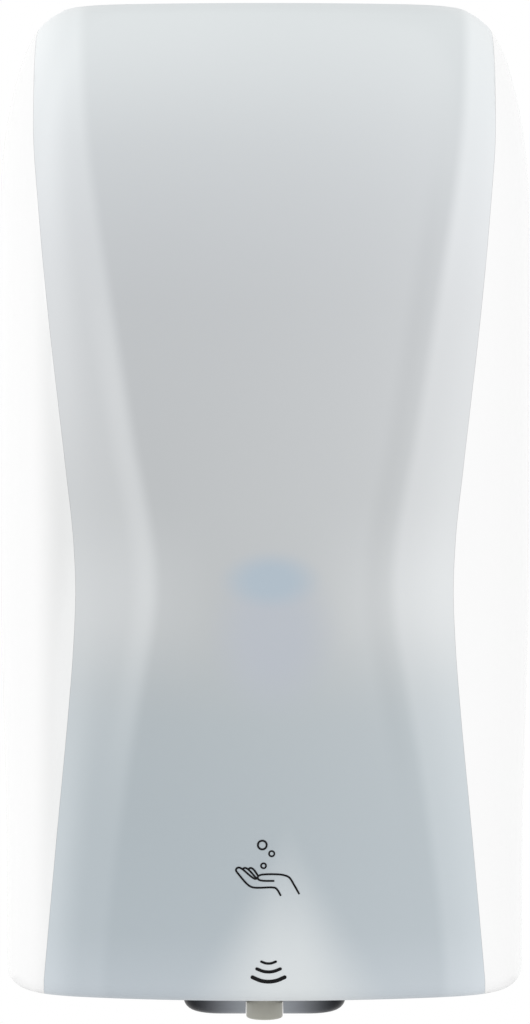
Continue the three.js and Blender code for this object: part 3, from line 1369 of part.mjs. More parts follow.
// Control box under the shelf: board, power switch, status light and dose button
{
  const highX = control.innerX;
  const lowX = highX - control.width;
  const highZ = chassis.shelfLow - control.topGap;
  const lowZ = highZ - control.height;
  const backY = control.frontY + control.depth;
  const middle = [(lowX + highX) / 2, (lowZ + highZ) / 2];
  const boardBack = backY - control.boardSink;
  const face = control.frontY + control.wall;
  const housing = cut(
    block([lowX, control.frontY, lowZ], [highX, backY, highZ]),
    block(
      [lowX + control.wall, face, lowZ + control.wall],
      [highX - control.wall, overrun, highZ - control.wall],
    ),
  );
  const legs = [middle[0], highX].map((x) => block(
    [x - control.leg, control.frontY, highZ - control.wall / 2],
    [x, backY, chassis.shelfLow - clearance],
  ));
  const lightX = middle[0];
  const buttonPlace = [lightX + control.pitch, middle[1]];
  const knobX = lightX - control.pitch - control.knobTravel / 2;
  const knobHole = block(
    [knobX - control.knobHalfX - runningGap, control.frontY - overrun,
      middle[1] - control.knobHalfZ - runningGap],
    [knobX + control.knobHalfX + control.knobTravel + runningGap, face + shortOverrun,
      middle[1] + control.knobHalfZ + runningGap],
  );
  piece("control_housing", cut(
    join(housing, ...legs),
    knobHole,
    bar("y", control.buttonRadius + runningGap, control.frontY - overrun, face + shortOverrun,
      buttonPlace, 20),
    bar("y", control.lightRadius + clearance, control.frontY - overrun, face + shortOverrun, middle, 16),
  ), materials.greyPlastic);
  piece("control_board", block(
    [lowX + control.wall + clearance, boardBack - control.boardThickness, lowZ + control.wall + clearance],
    [highX - control.wall - clearance, boardBack, highZ - control.wall - clearance],
  ), materials.circuitBoard);
  const boardFront = boardBack - control.boardThickness;
  piece("power_switch", join(
    block(
      [knobX - control.knobHalfX, control.frontY - control.knobStand, middle[1] - control.knobHalfZ],
      [knobX + control.knobHalfX, face + clearance + control.knobBase, middle[1] + control.knobHalfZ],
    ),
    block(
      [knobX - control.knobHalfX - control.knobBaseReach, face + clearance,
        middle[1] - control.knobHalfZ - control.knobBaseReach],
      [knobX + control.knobHalfX + control.knobBaseReach, boardFront - clearance,
        middle[1] + control.knobHalfZ + control.knobBaseReach],
    ),
  ), materials.darkPlastic);
  const flangeBack = face + clearance + control.buttonFlange;
  piece("dose_button", join(
    bar("y", control.buttonRadius, control.frontY - control.buttonStand, flangeBack, buttonPlace, 20),
    bar("y", control.buttonRadius + control.buttonFlangeReach, face + clearance, flangeBack, buttonPlace, 20),
  ), materials.bluePlastic);
  piece("status_light", bar("y", control.lightRadius, control.frontY - clearance, boardFront - clearance,
    middle, 16), materials.lightPipe);

  // Cables from the motor and from the sensor board, along the chassis to the control board
  const cableEnd = boardBack + clearance;
  const gearboxSide = motorAxle[0];
  const motorEnd = gearboxRear + motor.length + motor.endCap + 2 * clearance;
  const cableRun = chassis.frontY - 7 * cables.motorRadius;
  piece("motor_cable", wire([
    [gearboxSide, motorEnd, motorAxle[1]],
    [gearboxSide, motorEnd + 2 * cables.motorRadius, motorAxle[1]],
    [gearboxSide - 4 * cables.motorRadius, cableRun, motorAxle[1] + 2 * cables.motorRadius],
    [outputAxle[0], cableRun, (motorAxle[1] + lowZ) / 2],
    [0, cableRun, lowZ - 4 * cables.motorRadius],
    [highX, cableRun, lowZ - 2 * cables.motorRadius],
    [lightX, battery.backY, lowZ],
    [lightX, (battery.backY + cableEnd) / 2, middle[1]],
    [lightX, cableEnd, middle[1]],
  ], cables.motorRadius, cables.motorSteps), materials.cable);
  const closeIn = chassis.frontY - 4 * cables.sensorRadius;
  piece("sensor_cable", wire([
    [chassis.cableDoorX, chassis.cableDoorY, sensor.boardLow + sensor.boardThickness + clearance],
    [chassis.cableDoorX, chassis.cableDoorY, chassis.floorTop + 2 * chassis.wall],
    [chassis.cableDoorX + 2 * cables.sensorRadius, battery.backY, chassis.floorTop + chassis.cableDoorX * -2],
    [chassis.cableDoorX, closeIn, gearTrain.outputZ],
    [chassis.cableDoorX, closeIn, middle[1]],
    [highX, battery.backY, highZ],
    [highX - control.pitch, (battery.backY + cableEnd) / 2, highZ - control.topGap],
    [highX - control.pitch, cableEnd, highZ - 2 * control.topGap],
  ], cables.sensorRadius, cables.sensorSteps), materials.cable);
}

// Latch: bolt, spring and the plate that closes its housing
{
  const footTop = latch.housingHigh - latch.housingWall - clearance;
  const footLow = footTop - latch.foot;
  const noseTop = latch.housingHigh + latch.nose;
  const nose = fin([
    [latch.boltY - latch.noseHalfY, footLow + latch.foot / 2],
    [latch.boltY + latch.noseHalfY, footLow + latch.foot / 2],
    [latch.boltY + latch.noseHalfY, noseTop],
    [latch.boltY, noseTop],
    [latch.boltY - latch.noseHalfY, noseTop - latch.noseRamp],
  ], -latch.noseHalfX, latch.noseHalfX);
  piece("latch_bolt", join(
    block(
      [-latch.footHalfX, latch.boltY - latch.footHalfY, footLow],
      [latch.footHalfX, latch.boltY + latch.footHalfY, footTop],
    ),
    nose,
  ), materials.darkPlastic);
  piece("latch_spring", coilSpring("latch_spring", {
    coilRadius: latch.springRadius,
    wireRadius: latch.springWire,
    turns: latch.springTurns,
    low: latch.housingLow + latch.housingWall + clearance,
    high: footLow - clearance,
    centre: [0, latch.boltY],
  }), materials.steel);
  piece("latch_cover", block(
    [-latch.housingHalfX, latch.housingFrontY - clearance - latch.coverPlate, latch.housingLow],
    [latch.housingHalfX, latch.housingFrontY - clearance, latch.housingHigh],
  ), materials.greyPlastic);
}

export default dispenser;
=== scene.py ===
"""Looks of a wall-mounted touch-free foam soap dispenser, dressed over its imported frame.

Working sizes are millimetres in the row frame; finished meshes are scaled to metres.
"""
import logging
import math
from collections.abc import Callable, Iterable, Sequence
from dataclasses import dataclass
from enum import Enum

import bmesh
import bpy
from mathutils import Matrix, Vector


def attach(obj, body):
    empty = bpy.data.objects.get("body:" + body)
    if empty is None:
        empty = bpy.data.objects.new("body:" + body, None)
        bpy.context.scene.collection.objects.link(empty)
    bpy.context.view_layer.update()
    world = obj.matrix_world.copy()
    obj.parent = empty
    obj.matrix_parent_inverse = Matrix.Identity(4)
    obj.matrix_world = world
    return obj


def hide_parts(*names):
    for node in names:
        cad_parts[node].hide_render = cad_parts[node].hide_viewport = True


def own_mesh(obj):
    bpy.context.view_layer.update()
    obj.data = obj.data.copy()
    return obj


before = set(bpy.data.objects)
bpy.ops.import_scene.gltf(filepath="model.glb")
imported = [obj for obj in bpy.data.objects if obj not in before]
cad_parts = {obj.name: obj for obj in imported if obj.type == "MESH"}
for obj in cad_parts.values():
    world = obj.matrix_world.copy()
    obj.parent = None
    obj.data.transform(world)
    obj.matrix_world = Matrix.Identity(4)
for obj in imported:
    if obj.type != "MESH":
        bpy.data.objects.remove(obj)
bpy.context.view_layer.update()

LOG = logging.getLogger("dispenser")
MM = 0.001
OVERRUN = 20.0
CLEARANCE = 0.3
WELD = 1e-4
MIX_INPUTS = (0, 6, 7)
MIX_OUTPUT = 2
QUARTER = math.pi / 2

Point = tuple[float, float]
Pair = tuple[float, float]
Table = tuple[Pair, ...]
BMesh = bmesh.types.BMesh
Material = bpy.types.Material
Node = bpy.types.Node
Socket = bpy.types.NodeSocket


class Axis(Enum):
    """A row axis, by its index."""

    X = 0
    Y = 1
    Z = 2


class Body(Enum):
    """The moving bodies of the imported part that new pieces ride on."""

    FRAME = "frame"
    COVER = "cover"
    LATCH = "latch"
    CARTRIDGE = "cartridge"
    PISTON = "pump_piston"
    LIFT = "lift"
    OUTPUT = "output_wheel"
    SECOND = "second_wheel"
    FIRST = "first_wheel"
    ROTOR = "motor_rotor"
    LID = "battery_lid"
    SWITCH = "switch_knob"
    BUTTON = "button_cap"


class Combine(Enum):
    """What a boolean step does with the second solid."""

    CUT = "DIFFERENCE"
    JOIN = "UNION"
    KEEP = "INTERSECT"


# Outer form


def along(table: Table, share: float) -> float:
    """Follow a smooth curve through a table, by monotone cubic pieces.

    Args:
        table: pairs of share and value, in rising order of share.
        share: the place on the curve.

    Returns:
        The curve's value there.
    """
    t = min(max(share, table[0][0]), table[-1][0])
    last = len(table) - 1
    i = 0
    while i < last - 1 and t > table[i + 1][0]:
        i += 1

    def slope(k: int) -> float:
        """Slope of piece k."""
        return (table[k + 1][1] - table[k][1]) / (table[k + 1][0] - table[k][0])

    def tangent(k: int) -> float:
        """Slope of the curve at point k."""
        before, after = slope(max(k - 1, 0)), slope(min(k, last - 1))
        return 0.0 if before * after <= 0 else 2 * before * after / (before + after)

    span = table[i + 1][0] - table[i][0]
    s = (t - table[i][0]) / span
    rise = (2 * s**3 - 3 * s**2 + 1, s**3 - 2 * s**2 + s, -2 * s**3 + 3 * s**2, s**3 - s**2)
    return (
        rise[0] * table[i][1]
        + rise[1] * span * tangent(i)
        + rise[2] * table[i + 1][1]
        + rise[3] * span * tangent(i + 1)
    )


@dataclass(frozen=True)
class BodyForm:
    """The casing's outer form, as the frame's solids have it."""

    width: float = 178.0
    height: float = 320.0
    depth: float = 140.0
    wall: float = 2.5
    straight_side: float = 60.0
    crown: float = 14.0
    side_draft: float = 1.5
    squarest: float = 10.0
    half_width_shares: Table = (
        (0, 0.957), (0.004, 0.967), (0.012, 0.97), (0.06, 0.972), (0.14, 0.974), (0.22, 0.982),
        (0.3, 0.991), (0.37, 0.998), (0.42, 1), (0.74, 1), (0.81, 0.998), (0.863, 0.983),
        (0.905, 0.958), (0.943, 0.923), (0.963, 0.895), (0.981, 0.858), (0.993, 0.812), (1, 0.77),
    )
    depth_shares: Table = (
        (0, 0.885), (0.005, 0.903), (0.014, 0.912), (0.06, 0.925), (0.2, 0.952), (0.4, 0.982),
        (0.6, 1), (0.8, 0.994), (0.92, 0.975), (0.975, 0.962), (0.992, 0.952), (1, 0.93),
    )
    squareness_shares: Table = (
        (0, 1.3), (0.08, 0.9), (0.2, 0.58), (0.41, 0.34), (0.6, 0.5), (0.8, 0.8), (1, 1),
    )
    panel_half_shares: Table = (
        (0, 0.806), (0.15, 0.757), (0.3, 0.706), (0.36, 0.69), (0.412, 0.683), (0.46, 0.69),
        (0.53, 0.716), (0.7, 0.785), (0.8, 0.818), (0.88, 0.838), (1, 0.84),
    )
    level_shares: tuple[float, ...] = (
        0, 0.002, 0.004, 0.006, 0.009, 0.012, 0.016, 0.025, 0.04, 0.06, 0.085, 0.115, 0.15, 0.185,
        0.22, 0.26, 0.3, 0.34, 0.38, 0.42, 0.46, 0.5, 0.54, 0.58, 0.62, 0.66, 0.7, 0.74, 0.775,
        0.81, 0.84, 0.865, 0.885, 0.905, 0.922, 0.936, 0.948, 0.958, 0.966, 0.973, 0.979, 0.984,
        0.988, 0.9915, 0.9945, 0.997, 0.9985, 1,
    )
    crown_steps: int = 34

    @property
    def bottom(self) -> float:
        """Height of the lower edge."""
        return -self.height / 2

    @property
    def top(self) -> float:
        """Height of the upper edge."""
        return self.height / 2

    def share(self, z: float) -> float:
        """Share of the height that z stands at."""
        return (z - self.bottom) / self.height

    def half_width(self, z: float) -> float:
        """Half the body's width at a height."""
        return self.width / 2 * along(self.half_width_shares, self.share(z))

    def depth_at(self, z: float) -> float:
        """Distance of the front's middle from the wall at a height."""
        return self.depth * along(self.depth_shares, self.share(z))

    def panel_half(self, z: float) -> float:
        """Half the window panel's width at a height."""
        return self.width / 2 * along(self.panel_half_shares, self.share(z))

    def front(self, x: float, z: float, inset: float = 0.0) -> float:
        """Distance of the front surface from the wall.

        Args:
            x: place across.
            z: height.
            inset: how far the surface is taken in.

        Returns:
            The distance along -Y.
        """
        half = self.half_width(z) - inset
        exponent = self.squarest * along(self.squareness_shares, self.share(z))
        across = abs(x) / half
        reach = max(0.0, 1 - across**exponent)
        crowned = self.depth_at(z) - inset - self.crown * across**2
        return self.straight_side + (crowned - self.straight_side) * math.sqrt(reach)

    def ring(self, z: float, inset: float, back_y: float) -> list[Vector]:
        """One level outline, anticlockwise from above, starting at the rear left.

        Args:
            z: height of the ring.
            inset: how far it is taken in.
            back_y: depth at which its rear runs across.

        Returns:
            The ring's points.
        """
        half = self.half_width(z) - inset
        steps = self.crown_steps
        points = [Vector((-half + self.side_draft, back_y, z))]
        for i in range(-steps, steps + 1):
            x = half * math.sin(QUARTER * i / steps)
            points.append(Vector((x, -self.front(x, z, inset), z)))
        points.append(Vector((half - self.side_draft, back_y, z)))
        return points


FORM = BodyForm()


# Meshes and solids


def scaled_to_metres(bm: BMesh) -> None:
    """Scale a working mesh from millimetres to metres."""
    bmesh.ops.scale(bm, vec=(MM, MM, MM), verts=bm.verts)


def block(low: Sequence[float], high: Sequence[float]) -> BMesh:
    """A box between two corners.

    Args:
        low: lowest corner.
        high: highest corner.

    Returns:
        The mesh.
    """
    bm = bmesh.new()
    bmesh.ops.create_cube(bm, size=1.0)
    size = [h - l for l, h in zip(low, high)]
    middle = [(h + l) / 2 for l, h in zip(low, high)]
    bmesh.ops.scale(bm, vec=size, verts=bm.verts)
    bmesh.ops.translate(bm, vec=middle, verts=bm.verts)
    return bm


def place_on(axis: Axis, along_axis: float, across: Sequence[float]) -> list[float]:
    """A place in X, Y, Z order from its place along an axis and on the two others."""
    place = list(across)
    place.insert(axis.value, along_axis)
    return place


def bar(
    axis: Axis, radius: float, start: float, end: float, centre: Sequence[float], sides: int = 48
) -> BMesh:
    """A round bar along a row axis.

    Args:
        axis: the axis it runs along.
        radius: its radius.
        start: where it starts on that axis.
        end: where it ends.
        centre: its place on the two other axes, in X, Y, Z order.
        sides: number of sides.

    Returns:
        The mesh.
    """
    bm = bmesh.new()
    bmesh.ops.create_cone(
        bm, cap_ends=True, segments=sides, radius1=radius, radius2=radius, depth=abs(end - start)
    )
    return laid(bm, axis, place_on(axis, (start + end) / 2, centre))


def turned(profile: Sequence[Point], centre: Point, steps: int = 72) -> BMesh:
    """A solid of revolution about a vertical axis.

    Args:
        profile: radius and height of each corner, from axis to axis or ending on its first.
        centre: place of the axis in x and y.
        steps: steps round the axis.

    Returns:
        The mesh.
    """
    bm = bmesh.new()
    closed = profile[0] == profile[-1]
    verts = [bm.verts.new((r, 0, z)) for r, z in (profile[:-1] if closed else profile)]
    nexts = verts[1:] + (verts[:1] if closed else [])
    edges = [bm.edges.new(pair) for pair in zip(verts, nexts)]
    bmesh.ops.spin(
        bm, geom=bm.verts[:] + edges, cent=(0, 0, 0), axis=(0, 0, 1), angle=2 * math.pi,
        steps=steps, use_merge=True, use_duplicate=False,
    )
    bmesh.ops.remove_doubles(bm, verts=bm.verts, dist=WELD)
    bmesh.ops.dissolve_degenerate(bm, dist=WELD, edges=bm.edges)
    bmesh.ops.translate(bm, vec=(centre[0], centre[1], 0), verts=bm.verts)
    bmesh.ops.recalc_face_normals(bm, faces=bm.faces)
    return bm


def rounded_corner(radius: float, low: float, ease: float, steps: int) -> list[Point]:
    """A profile's lower outer corner, rounded, from its underside to its side."""
    angles = [QUARTER * i / steps for i in range(steps + 1)]
    return [(radius - ease + ease * math.sin(a), low + ease - ease * math.cos(a)) for a in angles]


def laid(bm: BMesh, axis: Axis, place: Sequence[float]) -> BMesh:
    """Turn a mesh made about the vertical axis so that it runs along a row axis, and move it.

    Args:
        bm: the mesh.
        axis: the axis it is to run along.
        place: where its old origin goes.

    Returns:
        The mesh.
    """
    turn = {
        Axis.X: Matrix.Rotation(QUARTER, 3, "Y"),
        Axis.Y: Matrix.Rotation(-QUARTER, 3, "X"),
        Axis.Z: Matrix.Identity(3),
    }[axis]
    bmesh.ops.rotate(bm, cent=(0, 0, 0), matrix=turn, verts=bm.verts)
    bmesh.ops.translate(bm, vec=place, verts=bm.verts)
    return bm


def route(points: Sequence[Vector], closed: bool = False, steps: int = 8) -> list[Vector]:
    """Run a smooth centripetal curve through points.

    Args:
        points: the points, of two or three axes.
        closed: whether the curve returns to its first point.
        steps: steps between two points.

    Returns:
        Points along the curve.
    """
    count = len(points)
    curve = []
    for i in range(count if closed else count - 1):
        if closed:
            p0, p1, p2, p3 = (points[(i + k) % count] for k in (-1, 0, 1, 2))
        else:
            p1, p2 = points[i], points[i + 1]
            p0 = points[i - 1] if i else p1 * 2 - p2
            p3 = points[i + 2] if i + 2 < count else p2 * 2 - p1
        knots = [0.0]
        for a, b in ((p0, p1), (p1, p2), (p2, p3)):
            knots.append(knots[-1] + math.sqrt(max((b - a).length, WELD)))
        t0, t1, t2, t3 = knots
        for step in range(steps):
            t = t1 + (t2 - t1) * step / steps
            a1 = p0.lerp(p1, (t - t0) / (t1 - t0))
            a2 = p1.lerp(p2, (t - t1) / (t2 - t1))
            a3 = p2.lerp(p3, (t - t2) / (t3 - t2))
            b1 = a1.lerp(a2, (t - t0) / (t2 - t0))
            b2 = a2.lerp(a3, (t - t1) / (t3 - t1))
            curve.append(b1.lerp(b2, (t - t1) / (t2 - t1)))
    if not closed:
        curve.append(points[-1].copy())
    return curve


def prism(outline: Iterable[Vector], run: Vector) -> BMesh:
    """A flat outline drawn out along a vector.

    Args:
        outline: corners of the outline, in order.
        run: how far and which way it is drawn out.

    Returns:
        The mesh.
    """
    bm = bmesh.new()
    face = bm.faces.new([bm.verts.new(p) for p in outline])
    drawn = bmesh.ops.extrude_face_region(bm, geom=[face])
    moved = [g for g in drawn["geom"] if isinstance(g, bmesh.types.BMVert)]
    bmesh.ops.translate(bm, vec=run, verts=moved)
    bmesh.ops.recalc_face_normals(bm, faces=bm.faces)
    return bm


def lofted(
    rings: Sequence[Sequence[Vector]], bm: BMesh | None = None, closed: bool = False
) -> BMesh:
    """A closed solid drawn through rings of equal count.

    Args:
        rings: the rings' points, in order.
        bm: mesh that it is added to, or None for a new one.
        closed: whether it runs on from the last ring to the first, as a hoop does.

    Returns:
        The mesh.
    """
    bm = bm or bmesh.new()
    if closed:
        rings = [*rings, rings[0]]
    base = bm.faces.new([bm.verts.new(p) for p in rings[0]])
    start = list(base.verts)
    edges, verts = list(base.edges), list(base.verts)
    for ring in rings[1:]:
        drawn = bmesh.ops.extrude_edge_only(bm, edges=edges)["geom"]
        edges = [g for g in drawn if isinstance(g, bmesh.types.BMEdge)]
        follow = {}
        for vert in (g for g in drawn if isinstance(g, bmesh.types.BMVert)):
            below = next(e.other_vert(vert) for e in vert.link_edges if e.other_vert(vert) in verts)
            follow[below] = vert
        verts = [follow[v] for v in verts]
        edges = [e for e in edges if e.verts[0] in verts and e.verts[1] in verts]
        for vert, place in zip(verts, ring):
            vert.co = place
    end = bm.faces.new(verts)
    if closed:
        bmesh.ops.delete(bm, geom=[base, end], context="FACES_ONLY")
        bmesh.ops.remove_doubles(bm, verts=start + verts, dist=WELD)
    bmesh.ops.recalc_face_normals(bm, faces=bm.faces)
    return bm


def tube(path: Sequence[Vector], radius: float, sides: int = 12) -> BMesh:
    """A round tube with closed ends along a path.

    Args:
        path: points along its middle.
        radius: its radius.
        sides: sides of its section.

    Returns:
        The mesh.
    """
    angles = [2 * math.pi * k / sides for k in range(sides)]
    normal = (path[1] - path[0]).normalized().orthogonal().normalized()
    rings = []
    for i, point in enumerate(path):
        ahead = (path[min(i + 1, len(path) - 1)] - path[max(i - 1, 0)]).normalized()
        normal = (normal - ahead * normal.dot(ahead)).normalized()
        side = ahead.cross(normal)
        rings.append([point + radius * (math.cos(a) * normal + math.sin(a) * side) for a in angles])
    return lofted(rings)


def level_ring(
    half: Point, radius: float, z: float, centre: Point, steps: int = 12
) -> list[Vector]:
    """A level rectangle with round corners, anticlockwise.

    Args:
        half: half of its two sizes.
        radius: radius of its corners.
        z: its height.
        centre: its middle.
        steps: steps in each corner.

    Returns:
        Its points.
    """
    points = []
    for turn, (sx, sy) in enumerate(((1, 1), (-1, 1), (-1, -1), (1, -1))):
        for i in range(steps + 1):
            angle = QUARTER * (turn + i / steps)
            points.append(Vector((
                centre[0] + sx * (half[0] - radius) + radius * math.cos(angle),
                centre[1] + sy * (half[1] - radius) + radius * math.sin(angle), z,
            )))
    return points


class Solid:
    """A closed mesh in millimetres that others are cut from, joined to or kept inside."""

    def __init__(self, bm: BMesh) -> None:
        """Take over a working mesh."""
        self.mesh = bpy.data.meshes.new("work")
        bm.to_mesh(self.mesh)
        bm.free()

    def _combine(self, other: "Solid", how: Combine) -> None:
        """Replace the mesh by its combination with another solid.

        Args:
            other: the other solid, used up.
            how: what is done with it.
        """
        scene = bpy.context.scene
        target = bpy.data.objects.new("work_target", self.mesh)
        tool = bpy.data.objects.new("work_tool", other.mesh)
        for item in (target, tool):
            scene.collection.objects.link(item)
        modifier = target.modifiers.new("combine", "BOOLEAN")
        modifier.operation = how.value
        modifier.solver = "MANIFOLD"
        modifier.object = tool
        evaluated = target.evaluated_get(bpy.context.evaluated_depsgraph_get())
        made = bpy.data.meshes.new_from_object(evaluated)
        old = self.mesh
        for item in (target, tool):
            bpy.data.objects.remove(item)
        bpy.data.meshes.remove(old)
        bpy.data.meshes.remove(other.mesh)
        self.mesh = made

    def cut(self, *tools: BMesh) -> "Solid":
        """Cut the tools away."""
        for tool in tools:
            self._combine(Solid(tool), Combine.CUT)
        return self

    def join(self, *parts: BMesh) -> "Solid":
        """Join the parts on."""
        for part in parts:
            self._combine(Solid(part), Combine.JOIN)
        return self

    def keep(self, room: BMesh) -> "Solid":
        """Keep only what is inside the room."""
        self._combine(Solid(room), Combine.KEEP)
        return self

    def working(self) -> BMesh:
        """The solid as a working mesh again, its own mesh removed."""
        bm = bmesh.new()
        bm.from_mesh(self.mesh)
        bpy.data.meshes.remove(self.mesh)
        return bm


@dataclass(frozen=True)
class Dressing:
    """How a finished mesh joins the part."""

    name: str
    body: Body
    slot: str
    replaces: tuple[str, ...] = ()
    smooth_deg: float = 32.0


def place_piece(
    bm: BMesh,
    dressing: Dressing,
    finishes: Sequence[Material],
    paint: Callable[[bmesh.types.BMFace], int] | None = None,
) -> bpy.types.Object:
    """Turn a working mesh into a piece of the dispenser.

    Args:
        bm: the mesh in millimetres, used up.
        dressing: its name, body, material slot and the frame nodes it stands for.
        finishes: its materials.
        paint: picks a face's material by index, if there are several.

    Returns:
        The piece's object.
    """
    if paint:
        bm.normal_update()
        for face in bm.faces:
            face.material_index = paint(face)
    scaled_to_metres(bm)
    mesh = bpy.data.meshes.new(dressing.name)
    bm.to_mesh(mesh)
    bm.free()
    for finish in finishes:
        mesh.materials.append(finish)
    mesh.shade_smooth()
    mesh.set_sharp_from_angle(angle=math.radians(dressing.smooth_deg))
    piece = bpy.data.objects.new(dressing.name, mesh)
    bpy.context.scene.collection.objects.link(piece)
    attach(piece, dressing.body.value)
    if dressing.replaces:
        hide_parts(*dressing.replaces)
    LOG.info("%s: %d faces on %s", dressing.name, len(mesh.polygons), dressing.body.value)
    return piece


# Finishes


class Nodes:
    """Adds shader nodes to a tree and links them."""

    def __init__(self, tree: bpy.types.NodeTree) -> None:
        """Start with an empty tree."""
        self.tree = tree
        tree.nodes.clear()

    def add(self, kind: str, **settings: object) -> Node:
        """Add a node.

        Args:
            kind: the node's type name without its ShaderNode prefix, or a full type name.
            settings: attributes of the node.

        Returns:
            The node.
        """
        full = kind if kind.startswith("Node") else f"ShaderNode{kind}"
        node = self.tree.nodes.new(full)
        for name, value in settings.items():
            setattr(node, name, value)
        return node

    def fed(self, kind: str, inputs: dict[str, object], **settings: object) -> Node:
        """Add a node and give its inputs their links or values.

        Args:
            kind: the node's type, as for add.
            inputs: a socket or a plain value by the input's name.
            settings: attributes of the node.

        Returns:
            The node.
        """
        node = self.add(kind, **settings)
        for name, value in inputs.items():
            self.feed(node.inputs[name], value)
        return node

    def join(self, source: Socket, target: Socket) -> None:
        """Link two sockets."""
        self.tree.links.new(source, target)

    def feed(self, target: Socket, value: object) -> None:
        """Give a socket its value.

        Args:
            target: the socket.
            value: the socket that drives it, or a plain value.
        """
        if isinstance(value, Socket):
            self.join(value, target)
        else:
            target.default_value = value

    def math(self, operation: str, *values: object, clamp: bool = False) -> Socket:
        """Add a Math node.

        Args:
            operation: what it works out.
            values: its inputs, in order.
            clamp: whether the result stays between 0 and 1.

        Returns:
            Its result.
        """
        node = self.add("Math", operation=operation, use_clamp=clamp)
        for socket, value in zip(node.inputs, values):
            self.feed(socket, value)
        return node.outputs[0]

    def ramp(self, factor: object, stops: Sequence[tuple[float, tuple[float, ...]]]) -> Socket:
        """Add a smooth colour ramp and return its colour.

        Args:
            factor: what drives it.
            stops: place and linear colour of each stop.

        Returns:
            The colour socket.
        """
        node = self.add("ValToRGB")
        ramp = node.color_ramp
        ramp.interpolation = "B_SPLINE"
        while len(ramp.elements) < len(stops):
            ramp.elements.new(0.5)
        for element, (place, color) in zip(ramp.elements, stops):
            element.position = place
            element.color = opaque(color)
        self.feed(node.inputs[0], factor)
        return node.outputs[0]

    def fade(self, value: object, low: float, high: float) -> Socket:
        """A smooth step from 0 at low to 1 at high."""
        inputs = {"Value": value, "From Min": low, "From Max": high}
        return self.fed("MapRange", inputs, interpolation_type="SMOOTHSTEP").outputs[0]

    def mix(self, share: object, first: object, second: object) -> Socket:
        """Mix two colours.

        Args:
            share: share of the second.
            first: first colour.
            second: second colour.

        Returns:
            The mixed colour.
        """
        node = self.add("Mix", data_type="RGBA")
        for index, value in zip(MIX_INPUTS, (share, first, second)):
            self.feed(node.inputs[index], opaque(value))
        return node.outputs[MIX_OUTPUT]

    def noise(self, where: object, scale: object, detail: float, roughness: float = 0.5) -> Socket:
        """Add a cloudy pattern and return its strength, about 0.5 on average."""
        inputs = {"Vector": where, "Scale": scale, "Detail": detail, "Roughness": roughness}
        return self.fed("TexNoise", inputs, noise_dimensions="3D").outputs[0]

    def where(self) -> Socket:
        """The place on the piece, as a vector."""
        return self.add("TexCoord").outputs["Object"]

    def place(self) -> tuple[Socket, Socket]:
        """The place on the piece, across and up."""
        apart = self.fed("SeparateXYZ", {"Vector": self.where()})
        return apart.outputs["X"], apart.outputs["Z"]

    def group(self, tree: bpy.types.NodeTree, **values: object) -> Node:
        """Place a node group with its own values; spaces in names are underscores."""
        inputs = {name.replace("_", " "): opaque(value) for name, value in values.items()}
        return self.fed("Group", inputs, node_tree=tree)


def opaque(value: object) -> object:
    """A colour with an alpha of 1; anything else as it is."""
    return (*value[:3], 1.0) if isinstance(value, tuple) else value


def linear(code: str) -> tuple[float, float, float]:
    """Turn a six-digit display colour into linear light."""
    parts = [int(code[i : i + 2], 16) / 255 for i in (0, 2, 4)]
    return tuple(p / 12.92 if p <= 0.04045 else ((p + 0.055) / 1.055) ** 2.4 for p in parts)


